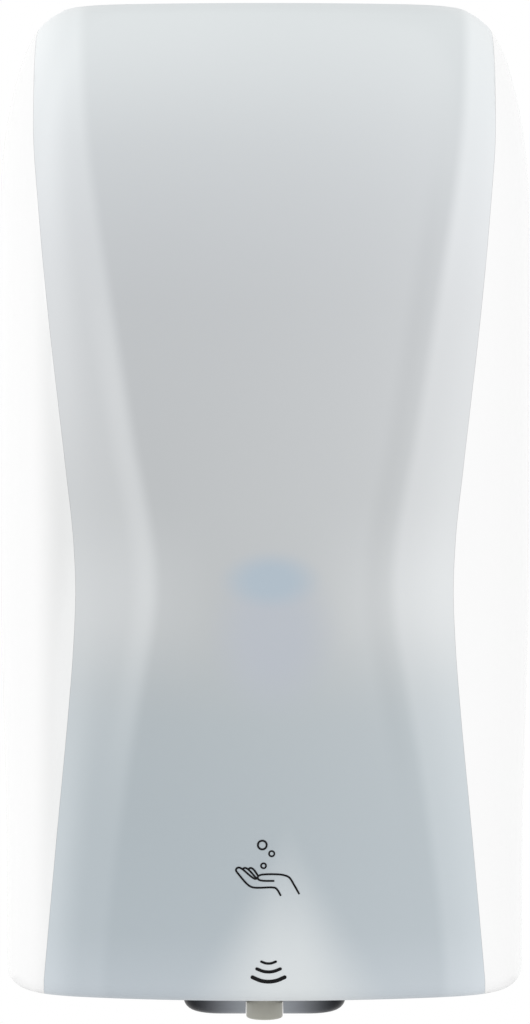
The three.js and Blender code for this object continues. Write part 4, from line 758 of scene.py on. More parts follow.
class Effects:
    """The node groups that several finishes share."""

    drift_scale: float = 22.0
    gloss_scale: float = 70.0
    gloss_roughness: float = 0.6
    grain_relief: float = 0.1
    cloud_scale: float = 90.0
    drawn_scale: tuple[float, float, float] = (60.0, 2200.0, 2200.0)
    line_relief: float = 0.05

    def __init__(self) -> None:
        """Build the groups once."""
        self.moulded = self._moulded()
        self.metal = self._metal()

    @staticmethod
    def _started(name: str, inputs: dict[str, object]) -> tuple[Nodes, Node, Node]:
        """Start a group that gives a colour, a roughness and a normal.

        Args:
            name: the group's name.
            inputs: each input's name and first value.

        Returns:
            Its nodes, with the one that holds its inputs and the one that takes its outputs.
        """
        tree = bpy.data.node_groups.new(name, "ShaderNodeTree")
        for title, value in inputs.items():
            kind = "NodeSocketColor" if isinstance(value, tuple) else "NodeSocketFloat"
            socket = tree.interface.new_socket(name=title, in_out="INPUT", socket_type=kind)
            socket.default_value = value
        for title, kind in (("Color", "Color"), ("Roughness", "Float"), ("Normal", "Vector")):
            tree.interface.new_socket(name=title, in_out="OUTPUT", socket_type=f"NodeSocket{kind}")
        n = Nodes(tree)
        return n, n.add("NodeGroupInput"), n.add("NodeGroupOutput")

    @staticmethod
    def _gloss(n: Nodes, given: Node, out: Node, pattern: Socket) -> None:
        """Make the group's roughness uneven by a pattern."""
        uneven = n.math("MULTIPLY", n.math("SUBTRACT", pattern, 0.5), given.outputs["Uneven"])
        rough = n.math("ADD", given.outputs["Roughness"], uneven, clamp=True)
        n.join(rough, out.inputs["Roughness"])

    @staticmethod
    def _relief(n: Nodes, out: Node, height: Socket, strength: Socket, depth: float) -> None:
        """Give the group's normal a fine relief, its depth in millimetres."""
        bump = n.fed("Bump", {"Distance": depth * MM, "Strength": strength, "Height": height})
        n.join(bump.outputs[0], out.inputs["Normal"])

    def _moulded(self) -> bpy.types.NodeTree:
        """Moulded plastic: slow tone drift, uneven gloss and a fine spark-eroded grain."""
        n, given, out = self._started("moulded_surface", {
            "Color": (0.8, 0.8, 0.8, 1.0), "Drift": 0.03, "Roughness": 0.4, "Uneven": 0.06,
            "Grain Size": 0.0006, "Grain Depth": 0.15,
        })
        where = n.where()
        slow = n.noise(where, self.drift_scale, 3.0)
        drift = n.math("MULTIPLY", n.math("SUBTRACT", slow, 0.5), given.outputs["Drift"])
        tone = n.add("VectorMath", operation="SCALE")
        n.join(given.outputs["Color"], tone.inputs[0])
        n.join(n.math("ADD", 1.0, drift), tone.inputs["Scale"])
        n.join(tone.outputs[0], out.inputs["Color"])
        self._gloss(n, given, out, n.noise(where, self.gloss_scale, 4.0, self.gloss_roughness))
        grain = n.noise(where, n.math("DIVIDE", 1.0, given.outputs["Grain Size"]), 2.0)
        self._relief(n, out, grain, given.outputs["Grain Depth"], self.grain_relief)
        return n.tree

    def _metal(self) -> bpy.types.NodeTree:
        """Drawn metal: fine lines along X, a clouded tone and uneven gloss."""
        n, given, out = self._started("drawn_metal", {
            "Color": (0.6, 0.6, 0.6, 1.0), "Shade": (0.4, 0.4, 0.4, 1.0), "Roughness": 0.3,
            "Uneven": 0.1, "Lines": 0.1,
        })
        where = n.where()
        drawn = n.fed("Mapping", {"Vector": where, "Scale": self.drawn_scale})
        lines = n.noise(drawn.outputs[0], 1.0, 2.0)
        cloud = n.noise(where, self.cloud_scale, 5.0)
        n.join(n.mix(cloud, given.outputs["Color"], given.outputs["Shade"]), out.inputs["Color"])
        self._gloss(n, given, out, cloud)
        self._relief(n, out, lines, given.outputs["Lines"], self.line_relief)
        return n.tree


EFFECTS = Effects()


@dataclass(frozen=True)
class Parts:
    """A material with the nodes that a finish adds to."""

    material: Material
    n: Nodes
    shader: Node
    skin: Node


def skinned(name: str, effect: bpy.types.NodeTree, **values: object) -> Parts:
    """Start a material whose colour, roughness and normal come from a shared effect.

    Args:
        name: the material's name.
        effect: the node group.
        values: the group's values, with underscores for spaces.

    Returns:
        The material's parts.
    """
    material = bpy.data.materials.new(name)
    material.use_nodes = True
    n = Nodes(material.node_tree)
    shader, out = n.add("BsdfPrincipled"), n.add("OutputMaterial")
    n.join(shader.outputs[0], out.inputs["Surface"])
    skin = n.group(effect, **values)
    n.join(skin.outputs["Color"], shader.inputs["Base Color"])
    n.join(skin.outputs["Roughness"], shader.inputs["Roughness"])
    n.join(skin.outputs["Normal"], shader.inputs["Normal"])
    return Parts(material, n, shader, skin)


@dataclass(frozen=True)
class Moulded:
    """A moulded plastic or rubber finish."""

    name: str
    color: str
    roughness: float
    drift: float = 0.04
    uneven: float = 0.06
    grain_size: float = 0.0007
    grain_depth: float = 0.15
    coat: float = 0.0
    coat_roughness: float = 0.12
    specular: float = 0.5

    def parts(self) -> Parts:
        """Build the material and give back its parts for a finish that adds to it."""
        parts = skinned(
            self.name, EFFECTS.moulded, Color=linear(self.color), Drift=self.drift,
            Roughness=self.roughness, Uneven=self.uneven, Grain_Size=self.grain_size,
            Grain_Depth=self.grain_depth,
        )
        parts.shader.inputs["Coat Weight"].default_value = self.coat
        parts.shader.inputs["Coat Roughness"].default_value = self.coat_roughness
        parts.shader.inputs["Specular IOR Level"].default_value = self.specular
        return parts

    def make(self) -> Material:
        """Build the material."""
        return self.parts().material


GLOSS = {"roughness": 0.22, "drift": 0.008, "coat": 0.3, "coat_roughness": 0.2}


@dataclass(frozen=True)
class Metal:
    """A bare or metallised metal finish."""

    name: str
    color: str
    shade: str
    roughness: float
    uneven: float = 0.1
    lines: float = 0.15

    def make(self) -> Material:
        """Build the material."""
        parts = skinned(
            self.name, EFFECTS.metal, Color=linear(self.color), Shade=linear(self.shade),
            Roughness=self.roughness, Uneven=self.uneven, Lines=self.lines,
        )
        parts.shader.inputs["Metallic"].default_value = 1.0
        return parts.material


@dataclass(frozen=True)
class Oval:
    """A soft oval tone on the panel, faded between two distances, 1 at its edge."""

    centre: Point
    half: Point
    fade: Pair
    tone: str
    strength: float = 1.0


@dataclass(frozen=True)
class Cone:
    """A soft cone of painted light that widens downwards."""

    middle: float
    top: float
    low: float
    half: float
    fade: Pair
    tip: float
    tone: str


@dataclass(frozen=True)
class Glow:
    """Painted light that spreads to both sides about one height."""

    height: float
    reach: float
    amount: float
    across: Pair


@dataclass(frozen=True)
class FrostedPanel:
    """The satin window: soft shapes of the bottle and the works show through it as tones, with
    painted light and shade laid over them.

    Heights are shares of the casing's height from its lower edge, and widths are millimetres.
    A table gives a width or an added painted light by height. The highlight line, of painted
    light, and the darker rim are soft lines, each with its place beyond the shape's edge and its
    half width, and the climb is a painted rise of light over a width by an amount.
    """

    name: str = "frosted_panel"
    roughness: float = 0.36
    # Tones by height of the shapes behind; the lighter ends at the top and the bottom are painted
    # light.
    tones: tuple[tuple[float, str], ...] = (
        (0.0, "C4CCD3"), (0.07, "B2BCC2"), (0.28, "B3BCC1"), (0.38, "C0C3C4"), (0.7, "C1C4C7"),
        (0.86, "D0D4D7"), (1.0, "E5EAEB"),
    )
    shape_middle: float = 3.2
    waist: Table = (
        (0.05, 55.0), (0.15, 50.8), (0.25, 46.0), (0.33, 41.5), (0.4, 37.0), (0.47, 38.5),
        (0.55, 44.3), (0.65, 49.5), (0.75, 54.7), (0.85, 60.0), (0.95, 62.0),
    )
    waist_edge: float = 5.0
    # Painted light beside the shape on both sides: a painted highlight line on the left, a painted
    # climb of light and a darker rim on the right.
    left_painted_light: Table = (
        (0.0, 0.03), (0.15, 0.035), (0.25, 0.047), (0.4, 0.06), (0.58, 0.075), (0.7, 0.095),
        (0.77, 0.085), (0.9, 0.09), (1.0, 0.08),
    )
    left_painted_highlight: Table = (
        (0.2, 0.0), (0.3, 0.03), (0.4, 0.05), (0.6, 0.055), (0.68, 0.03), (0.75, 0.0),
    )
    painted_highlight_line: Pair = (3.5, 6.5)
    right_painted_light: Table = (
        (0.0, 0.06), (0.15, 0.07), (0.3, 0.07), (0.4, 0.09), (0.58, 0.1), (0.7, 0.125),
        (0.77, 0.155), (0.89, 0.155), (1.0, 0.12),
    )
    right_painted_climb: Pair = (18.0, 0.075)
    right_rim: Table = ((0.2, 0.0), (0.3, 0.035), (0.75, 0.035), (0.85, 0.0))
    rim: Pair = (-6.0, 6.0)
    crest: Pair = (0.84, 0.97)
    full_width: float = 100.0
    # Painted light at the waist.
    glow: Glow = Glow(0.405, 0.11, 0.05, (11.0, 36.0))
    sides: Pair = (-55.0, 60.0)
    # Painted shade on the left and painted light on the right, by height.
    left_side_painted_shade: float = 0.0275
    right_side_painted_light: Table = (
        (0.0, 0.078), (0.35, 0.078), (0.45, 0.095), (0.58, 0.08), (0.72, 0.065), (0.8, 0.045),
        (0.88, 0.035), (1.0, 0.02),
    )
    right_zero: float = 0.05
    # Painted light along the left seam.
    seam_width: float = 12.0
    seam_painted_light: Table = (
        (0.0, 0.085), (0.15, 0.08), (0.25, 0.045), (0.34, 0.0), (0.42, 0.0), (0.5, 0.0),
        (0.58, 0.03), (0.65, 0.035), (0.75, 0.04), (0.83, 0.07), (0.95, 0.09),
    )
    veil: Oval = Oval((3.0, -41.0), (20.0, 26.0), (1.2, 0.3), "B8BEC8", 0.75)
    spot: Oval = Oval((2.0, -24.0), (14.5, 8.5), (1.25, 0.35), "AFBDC9")
    # A painted cone of light above the lower edge.
    cone: Cone = Cone(7.5, -99.0, -157.0, 31.0, (1.15, 0.1), 0.05, "DCE1E3")

    @staticmethod
    def _level(n: Nodes, table: Table, share: object) -> Socket:
        """A number between 0 and 1 that follows a table by share of height."""
        return n.ramp(share, [(place, (level,) * 3) for place, level in table])

    def _band(self, n: Nodes, table: Table, share: object) -> Socket:
        """A width in metres that follows a table by share of height."""
        levels = tuple((place, width / self.full_width) for place, width in table)
        return n.math("MULTIPLY", self._level(n, levels, share), self.full_width * MM)

    @staticmethod
    def _off(n: Nodes, value: Socket, middle: float) -> Socket:
        """Distance of a value from a middle."""
        return n.math("ABSOLUTE", n.math("SUBTRACT", value, middle))

    def _line(self, n: Nodes, beyond: Socket, place: float, half: float) -> Socket:
        """A soft line beside the shape's edge, its place and half width in millimetres."""
        return n.fade(self._off(n, beyond, place * MM), half * MM, 0.0)

    def _flanks(self, n: Nodes, x: Socket, share: Socket, right: Socket) -> Socket:
        """Painted light and shade on the panel beside the shape behind it.

        Args:
            n: the material's nodes.
            x: place across.
            share: share of the height.
            right: 0 on the left to 1 on the right.

        Returns:
            The added painted light.
        """
        side = self._off(n, x, self.shape_middle * MM)
        beyond = n.math("SUBTRACT", side, self._band(n, self.waist, share))
        edge = self.waist_edge / 2 * MM
        step = n.fade(beyond, -edge, edge)
        # Painted highlight: a soft line of light beside the shape's left edge.
        painted_highlight_level = self._level(n, self.left_painted_highlight, share)
        painted_highlight_line = n.math("MULTIPLY", self._line(n, beyond, *self.painted_highlight_line), painted_highlight_level)
        left = n.math("MULTIPLY_ADD", step, self._level(n, self.left_painted_light, share), painted_highlight_line)
        # Painted light climbing towards the right seam, less a darker line by the shape's right
        # edge.
        reach, amount = self.right_painted_climb
        below_crest = n.fade(share, *reversed(self.crest))
        climb = n.math("MULTIPLY", n.fade(beyond, 0.0, reach * MM), below_crest)
        rim_dark = self._level(n, self.right_rim, share)
        rim = n.math("MULTIPLY", self._line(n, beyond, *self.rim), rim_dark)
        slow = n.math("SUBTRACT", n.math("MULTIPLY", climb, amount), rim)
        other = n.math("MULTIPLY_ADD", step, self._level(n, self.right_painted_light, share), slow)
        return n.math("MULTIPLY_ADD", n.math("SUBTRACT", other, left), right, left)

    def _borders(self, n: Nodes, side: Socket, share: Socket, right: Socket) -> Socket:
        """Painted light along the left seam, and the painted light that spreads to both sides at
        the waist.

        Args:
            n: the material's nodes.
            side: distance from the middle.
            share: share of the height.
            right: 0 on the left to 1 on the right.

        Returns:
            The added painted light.
        """
        level = n.fade(self._off(n, share, self.glow.height), self.glow.reach, 0.0)
        wide = n.fade(side, *(part * MM for part in self.glow.across))
        glow = n.math("MULTIPLY", n.math("MULTIPLY", level, wide), self.glow.amount)
        halves = tuple((s, w * FORM.width / 2) for s, w in FORM.panel_half_shares)
        inside = n.math("SUBTRACT", self._band(n, halves, share), side)
        seam = n.fade(inside, self.seam_width * MM, 0.0)
        left = n.math("SUBTRACT", 1.0, right)
        lift = n.math("MULTIPLY", self._level(n, self.seam_painted_light, share), left)
        return n.math("ADD", glow, n.math("MULTIPLY", seam, lift))

    def _across(self, n: Nodes, share: Socket, right: Socket) -> Socket:
        """Painted light on the panel's right, and painted shade on its left below the crest.

        Args:
            n: the material's nodes.
            share: share of the height.
            right: 0 on the left to 1 on the right.

        Returns:
            The added painted light and shade.
        """
        above = n.math("SUBTRACT", 1.0, n.fade(share, *self.crest))
        left = n.math("MULTIPLY", n.math("SUBTRACT", 1.0, right), above)
        tone = n.math("SUBTRACT", self._level(n, self.right_side_painted_light, share), self.right_zero)
        drop = n.math("MULTIPLY", left, self.left_side_painted_shade)
        return n.math("SUBTRACT", n.math("MULTIPLY", right, tone), drop)

    @staticmethod
    def _with_oval(n: Nodes, x: Socket, z: Socket, under: Socket, oval: Oval) -> Socket:
        """A colour with an oval tone over it.

        Args:
            n: the material's nodes.
            x: place across.
            z: place up.
            under: the colour.
            oval: the tone.

        Returns:
            The colour with the tone.
        """
        squares = []
        for value, middle, half in zip((x, z), oval.centre, oval.half):
            off = n.math("DIVIDE", n.math("SUBTRACT", value, middle * MM), half * MM)
            squares.append(n.math("MULTIPLY", off, off))
        distance = n.math("SQRT", n.math("ADD", *squares))
        share = n.math("MULTIPLY", n.fade(distance, *oval.fade), oval.strength)
        return n.mix(share, under, linear(oval.tone))

    def _with_cone(self, n: Nodes, x: Socket, z: Socket, under: Socket) -> Socket:
        """A colour with the painted light cone over it.

        Args:
            n: the material's nodes.
            x: place across.
            z: place up.
            under: the colour.

        Returns:
            The colour with the cone.
        """
        cone = self.cone
        down = n.math("DIVIDE", n.math("SUBTRACT", cone.top * MM, z), (cone.top - cone.low) * MM)
        spread = n.math("MULTIPLY", n.math("MAXIMUM", down, cone.tip), cone.half * MM)
        off = n.math("DIVIDE", self._off(n, x, cone.middle * MM), spread)
        share = n.math("MULTIPLY", n.fade(off, *cone.fade), n.fade(down, 0.0, 1.0))
        return n.mix(share, under, linear(cone.tone))

    def make(self) -> Material:
        """Build the material."""
        parts = Moulded(
            self.name, "C4C8CA", self.roughness, drift=0.015, grain_size=0.0005, grain_depth=0.1
        ).parts()
        n = parts.n
        x, z = n.place()
        share = n.math("DIVIDE", n.math("SUBTRACT", z, FORM.bottom * MM), FORM.height * MM)
        right = n.fade(x, *(part * MM for part in self.sides))
        # Painted light and shade are worked out here and added to the tones.
        borders = self._borders(n, self._off(n, x, 0.0), share, right)
        flanks = n.math("ADD", self._flanks(n, x, share, right), self._across(n, share, right))
        added = n.add("VectorMath", operation="ADD")
        n.join(n.ramp(share, [(s, linear(code)) for s, code in self.tones]), added.inputs[0])
        n.join(n.math("ADD", flanks, borders), added.inputs[1])
        color = added.outputs[0]
        for oval in (self.veil, self.spot):
            color = self._with_oval(n, x, z, color, oval)
        n.join(self._with_cone(n, x, z, color), parts.skin.inputs["Color"])
        return parts.material


@dataclass(frozen=True)
class CoverGloss:
    """Glossy white, a little greyer on the left wing beside the window, by painted shade."""

    name: str = "cover_gloss"
    color: str = "FCFCFC"
    # The painted shade on the left wing, and where it fades in and out.
    shade: str = "E4E5E5"
    painted_shade_from: Pair = (-76.0, -64.0)
    painted_shade_to: Pair = (-58.0, -40.0)
    painted_shade_top: Pair = (80.0, 115.0)

    def make(self) -> Material:
        """Build the material."""
        parts = Moulded(self.name, self.color, **GLOSS).parts()
        n = parts.n
        x, z = n.place()
        # Painted shade: grows across the left wing towards the window, fading out towards the
        # middle and the top.
        share = n.fade(x, *(part * MM for part in self.painted_shade_from))
        for value, (low, high) in ((x, self.painted_shade_to), (z, self.painted_shade_top)):
            share = n.math("MULTIPLY", share, n.fade(value, high * MM, low * MM))
        n.join(n.mix(share, linear(self.color), linear(self.shade)), parts.skin.inputs["Color"])
        return parts.material


@dataclass(frozen=True)
class TrayMetal:
    """Metallised tray skin whose ends carry a painted reflection of the dark on both sides."""

    name: str = "satin_metal"
    middle: str = "999DA3"
    # The ends' colour is the painted reflection's dark.
    ends: str = "0B0C13"
    spread: Pair = (4.0, 25.0)
    roughness: float = 0.3
    metallic: float = 0.5

    def make(self) -> Material:
        """Build the material."""
        parts = Moulded(
            self.name, self.middle, self.roughness, drift=0.04, grain_depth=0.08, specular=0.25
        ).parts()
        n = parts.n
        x, _ = n.place()
        # Painted reflection: the colour goes dark towards both ends.
        out = n.fade(n.math("ABSOLUTE", x), *(part * MM for part in self.spread))
        n.join(n.mix(out, linear(self.middle), linear(self.ends)), parts.skin.inputs["Color"])
        parts.shader.inputs["Metallic"].default_value = self.metallic
        return parts.material


@dataclass(frozen=True)
class MilkyBottle:
    """Milky bottle plastic with the soap's level showing through it."""

    name: str = "milky_bottle"
    empty: str = "E4E9EB"
    filled: str = "C9DCE6"
    level: float = 71.0
    softness: float = 3.0
    milkiness: float = 0.15
    scatter: float = 4.0

    def make(self) -> Material:
        """Build the material."""
        parts = Moulded(
            self.name, self.empty, 0.3, drift=0.03, grain_size=0.0008, grain_depth=0.12
        ).parts()
        n = parts.n
        _, z = n.place()
        above, below = (self.level + side * self.softness for side in (1, -1))
        soap = n.fade(z, above * MM, below * MM)
        n.join(n.mix(soap, linear(self.empty), linear(self.filled)), parts.skin.inputs["Color"])
        parts.shader.inputs["Subsurface Weight"].default_value = self.milkiness
        parts.shader.inputs["Subsurface Radius"].default_value = (self.scatter * MM,) * 3
        return parts.material


@dataclass(frozen=True)
class CircuitBoard:
    """Green board with copper tracks under its lacquer and tinned pads."""

    name: str = "circuit_board"
    mask: str = "1E5B3A"
    track: str = "2F7A4C"
    pad: str = "B9BAB4"
    tracks_per_metre: float = 420.0
    track_edge: Pair = (0.09, 0.05)
    pads_per_metre: float = 300.0
    pad_scatter: float = 0.35
    pad_edge: Pair = (0.2, 0.15)

    def make(self) -> Material:
        """Build the material."""
        parts = Moulded(self.name, self.mask, 0.35, drift=0.05, grain_depth=0.06, coat=0.4).parts()
        n = parts.n
        where = n.where()
        inputs = {"Vector": where, "Scale": self.tracks_per_metre}
        maze = n.fed("TexVoronoi", inputs, distance="CHEBYCHEV", feature="DISTANCE_TO_EDGE")
        tracks = n.fade(maze.outputs["Distance"], *self.track_edge)
        inputs = {"Vector": where, "Scale": self.pads_per_metre, "Randomness": self.pad_scatter}
        dots = n.fed("TexVoronoi", inputs, feature="F1")
        pads = n.fade(dots.outputs["Distance"], *self.pad_edge)
        tracked = n.mix(tracks, linear(self.mask), linear(self.track))
        n.join(n.mix(pads, tracked, linear(self.pad)), parts.skin.inputs["Color"])
        return parts.material


@dataclass(frozen=True)
class CellSleeve:
    """Shrink sleeve of a dry cell: dark below, a copper tone above."""

    name: str = "cell_sleeve"
    dark: str = "2B3440"
    band: str = "B98B3E"
    band_low: float = -101.0
    band_edge: float = 0.4

    def make(self) -> Material:
        """Build the material."""
        parts = Moulded(self.name, self.dark, 0.28, drift=0.03, grain_depth=0.05, coat=0.3).parts()
        n = parts.n
        _, z = n.place()
        high = n.fade(z, self.band_low * MM, (self.band_low + self.band_edge) * MM)
        n.join(n.mix(high, linear(self.dark), linear(self.band)), parts.skin.inputs["Color"])
        return parts.material


FINISHES = (
    Moulded("white_gloss", "FCFCFC", **GLOSS),
    CoverGloss(),
    FrostedPanel(),
    Moulded("frosted_back", "B4BBC0", 0.5, grain_depth=0.3),
    Moulded("black_ink", "0D0E10", 0.5, grain_depth=0.05, specular=0.15),
    Moulded("grey_plastic", "9CA2A6", 0.48, grain_depth=0.3),
    Moulded("dark_plastic", "33363B", 0.45, grain_depth=0.3),
    Moulded("blue_plastic", "3F86C0", 0.32),
    Moulded("white_plastic", "E8E6DF", 0.38),
    Moulded("nozzle_plastic", "B9B8AD", 0.42),
    Moulded("gear_plastic", "E9E4D2", 0.42),
    Moulded("dark_lens", "15161A", 0.1, grain_depth=0.02, coat=1.0, coat_roughness=0.03),
    Moulded("light_pipe", "D8ECFF", 0.12, grain_depth=0.02, coat=0.8),
    Moulded("rubber", "2A2B2D", 0.7, grain_depth=0.35),
    Moulded("cable_sheath", "3A3C40", 0.5, grain_depth=0.2),
    MilkyBottle(),
    CircuitBoard(),
    CellSleeve(),
    Metal("steel", "B9BCC0", "8F9296", 0.28),
    TrayMetal(),
)


class Palette:
    """Every finish, built once and looked up by name."""

    def __init__(self) -> None:
        """Build all finishes."""
        self.by_name = {finish.name: finish.make() for finish in FINISHES}

    def __getitem__(self, name: str) -> Material:
        """The material of that name."""
        return self.by_name[name]


# Cover


@dataclass(frozen=True)
class Stroke:
    """A printed line on the panel: a path in the x-z plane with its width, in millimetres."""

    points: tuple[Point, ...]
    width: float
    closed: bool = False


def ring_stroke(centre: Point, radius: float, width: float, steps: int = 10) -> Stroke:
    """A round line.

    Args:
        centre: its middle.
        radius: its radius.
        width: width of the line.
        steps: points round it.

    Returns:
        The line.
    """
    points = tuple(
        (centre[0] + radius * math.cos(2 * math.pi * i / steps),
         centre[1] + radius * math.sin(2 * math.pi * i / steps))
        for i in range(steps)
    )
    return Stroke(points, width, True)


def arc_stroke(centre_x: float, z: float, half: float, sag: float, width: float) -> Stroke:
    """A shallow line that hangs by its sag between two ends."""
    points = tuple((centre_x + half * s, z - sag * (1 - s * s)) for s in ARC_SHARES)
    return Stroke(points, width)


# The hand's lines about its place, then place, radius and line width of each bubble, and
# height, half width, sag and line width of each wave.
ARC_SHARES = (-1.0, -0.5, 0.0, 0.5, 1.0)
CAP_SHARES = (0.2, 0.4, 0.6, 0.8, 0.96)
HAND = (
    ((14.0, -3.4), (12.5, -0.7), (10.9, 1.8), (9.4, 2.5), (7.6, 2.8), (2.0, 2.7),
     (1.1, 2.3), (0.8, 1.7), (1.2, 1.1), (2.2, 0.8), (5.9, 0.7)),
    ((8.1, -3.9), (7.2, -2.3), (6.5, -1.6), (5.5, -1.4), (-0.6, -1.4), (-2.1, -0.7),
     (-5.3, 2.9), (-6.1, 4.1), (-5.8, 4.8), (-5.1, 5.0), (-4.2, 4.6), (-0.1, 1.4),
     (0.9, 1.6)),
    ((-4.0, 4.6), (-3.2, 4.9), (-2.3, 4.5), (0.3, 1.7)),
    ((-2.2, 4.5), (-1.4, 4.9), (-0.6, 4.5), (1.0, 2.3)),
)
HAND_PLACE = (-3.0, -121.0)
HAND_WIDTH = 0.62
BUBBLES = (((-0.7, -108.7), 1.4, 0.64), ((2.3, -111.5), 0.85, 0.56), ((-0.3, -115.4), 0.8, 0.56))
WAVES = ((-146.5, 2.3, 0.6, 0.8), (-148.85, 3.75, 1.0, 1.02), (-151.6, 5.15, 1.45, 1.25))
WAVE_X = 1.3


def marks() -> list[Stroke]:
    """The plain pictograms: an open hand under three bubbles, and three sensor waves."""
    strokes = [ring_stroke(*bubble) for bubble in BUBBLES]
    for line in HAND:
        points = tuple((HAND_PLACE[0] + x, HAND_PLACE[1] + z) for x, z in line)
        strokes.append(Stroke(points, HAND_WIDTH))
    return strokes + [arc_stroke(WAVE_X, *wave) for wave in WAVES]


def ribbon(bm: BMesh, stroke: Stroke, proud: float = 0.07, sunk: float = 0.1) -> None:
    """Add a printed line as a thin closed band on the casing's front.

    Args:
        bm: the mesh it is added to.
        stroke: the line.
        proud: how far its face stands out of the panel.
        sunk: how far its back lies in the panel.
    """
    path = route([Vector(point) for point in stroke.points], stroke.closed)
    count = len(path)
    half = stroke.width / 2
    sections = []
    for i, point in enumerate(path):
        before = path[(i - 1) % count] if stroke.closed else path[max(i - 1, 0)]
        after = path[(i + 1) % count] if stroke.closed else path[min(i + 1, count - 1)]
        sections.append((point, (after - before).normalized(), half))
    if not stroke.closed:
        caps = [(share, math.sqrt(1 - share**2)) for share in CAP_SHARES]
        first, last = sections[0], sections[-1]
        start = [(first[0] - first[1] * half * t, first[1], half * w) for t, w in reversed(caps)]
        end = [(last[0] + last[1] * half * t, last[1], half * w) for t, w in caps]
        sections = start + sections + end
    rings = []
    for middle, ahead, wide in sections:
        across = Vector((-ahead.y, ahead.x)) * wide
        corners = []
        for sign, lift in ((-1, proud), (1, proud), (1, -sunk), (-1, -sunk)):
            spot = middle + across * sign
            corners.append(Vector((spot.x, -FORM.front(spot.x, spot.y) - lift, spot.y)))
        rings.append(corners)
    lofted(rings, bm, stroke.closed)


@dataclass(frozen=True)
class CoverForm:
    """Sizes of the cover, as the frame has them."""

    rear_y: float = -18.3
    panel_wall: float = 2.0
    ledge_sink: float = 0.25
    ledge_wall: float = 1.7
    ledge_reach: float = 6.0
    ledge_root: float = 4.0
    seam: float = 0.025
    return_setback: float = 4.0
    hinge_y: float = -18.0
    hinge_z: float = -156.0
    hinge_half: float = 62.0
    ear_radius: float = 3.4
    ear_width: float = 6.0
    ear_reach: float = 9.0
    lug_width: float = 6.0
    pin_radius: float = 1.5
    catch_half: float = 9.0
    catch_y: Pair = (-21.7, -19.7)
    catch_low: float = 148.9
    key_half: float = 8.0
    key_y: Pair = (-27.4, -21.8)
    door_half: Point = (30.5, 35.0)
    door_corner: float = 16.0
    door_y: float = -81.0
    panel_steps: int = 64


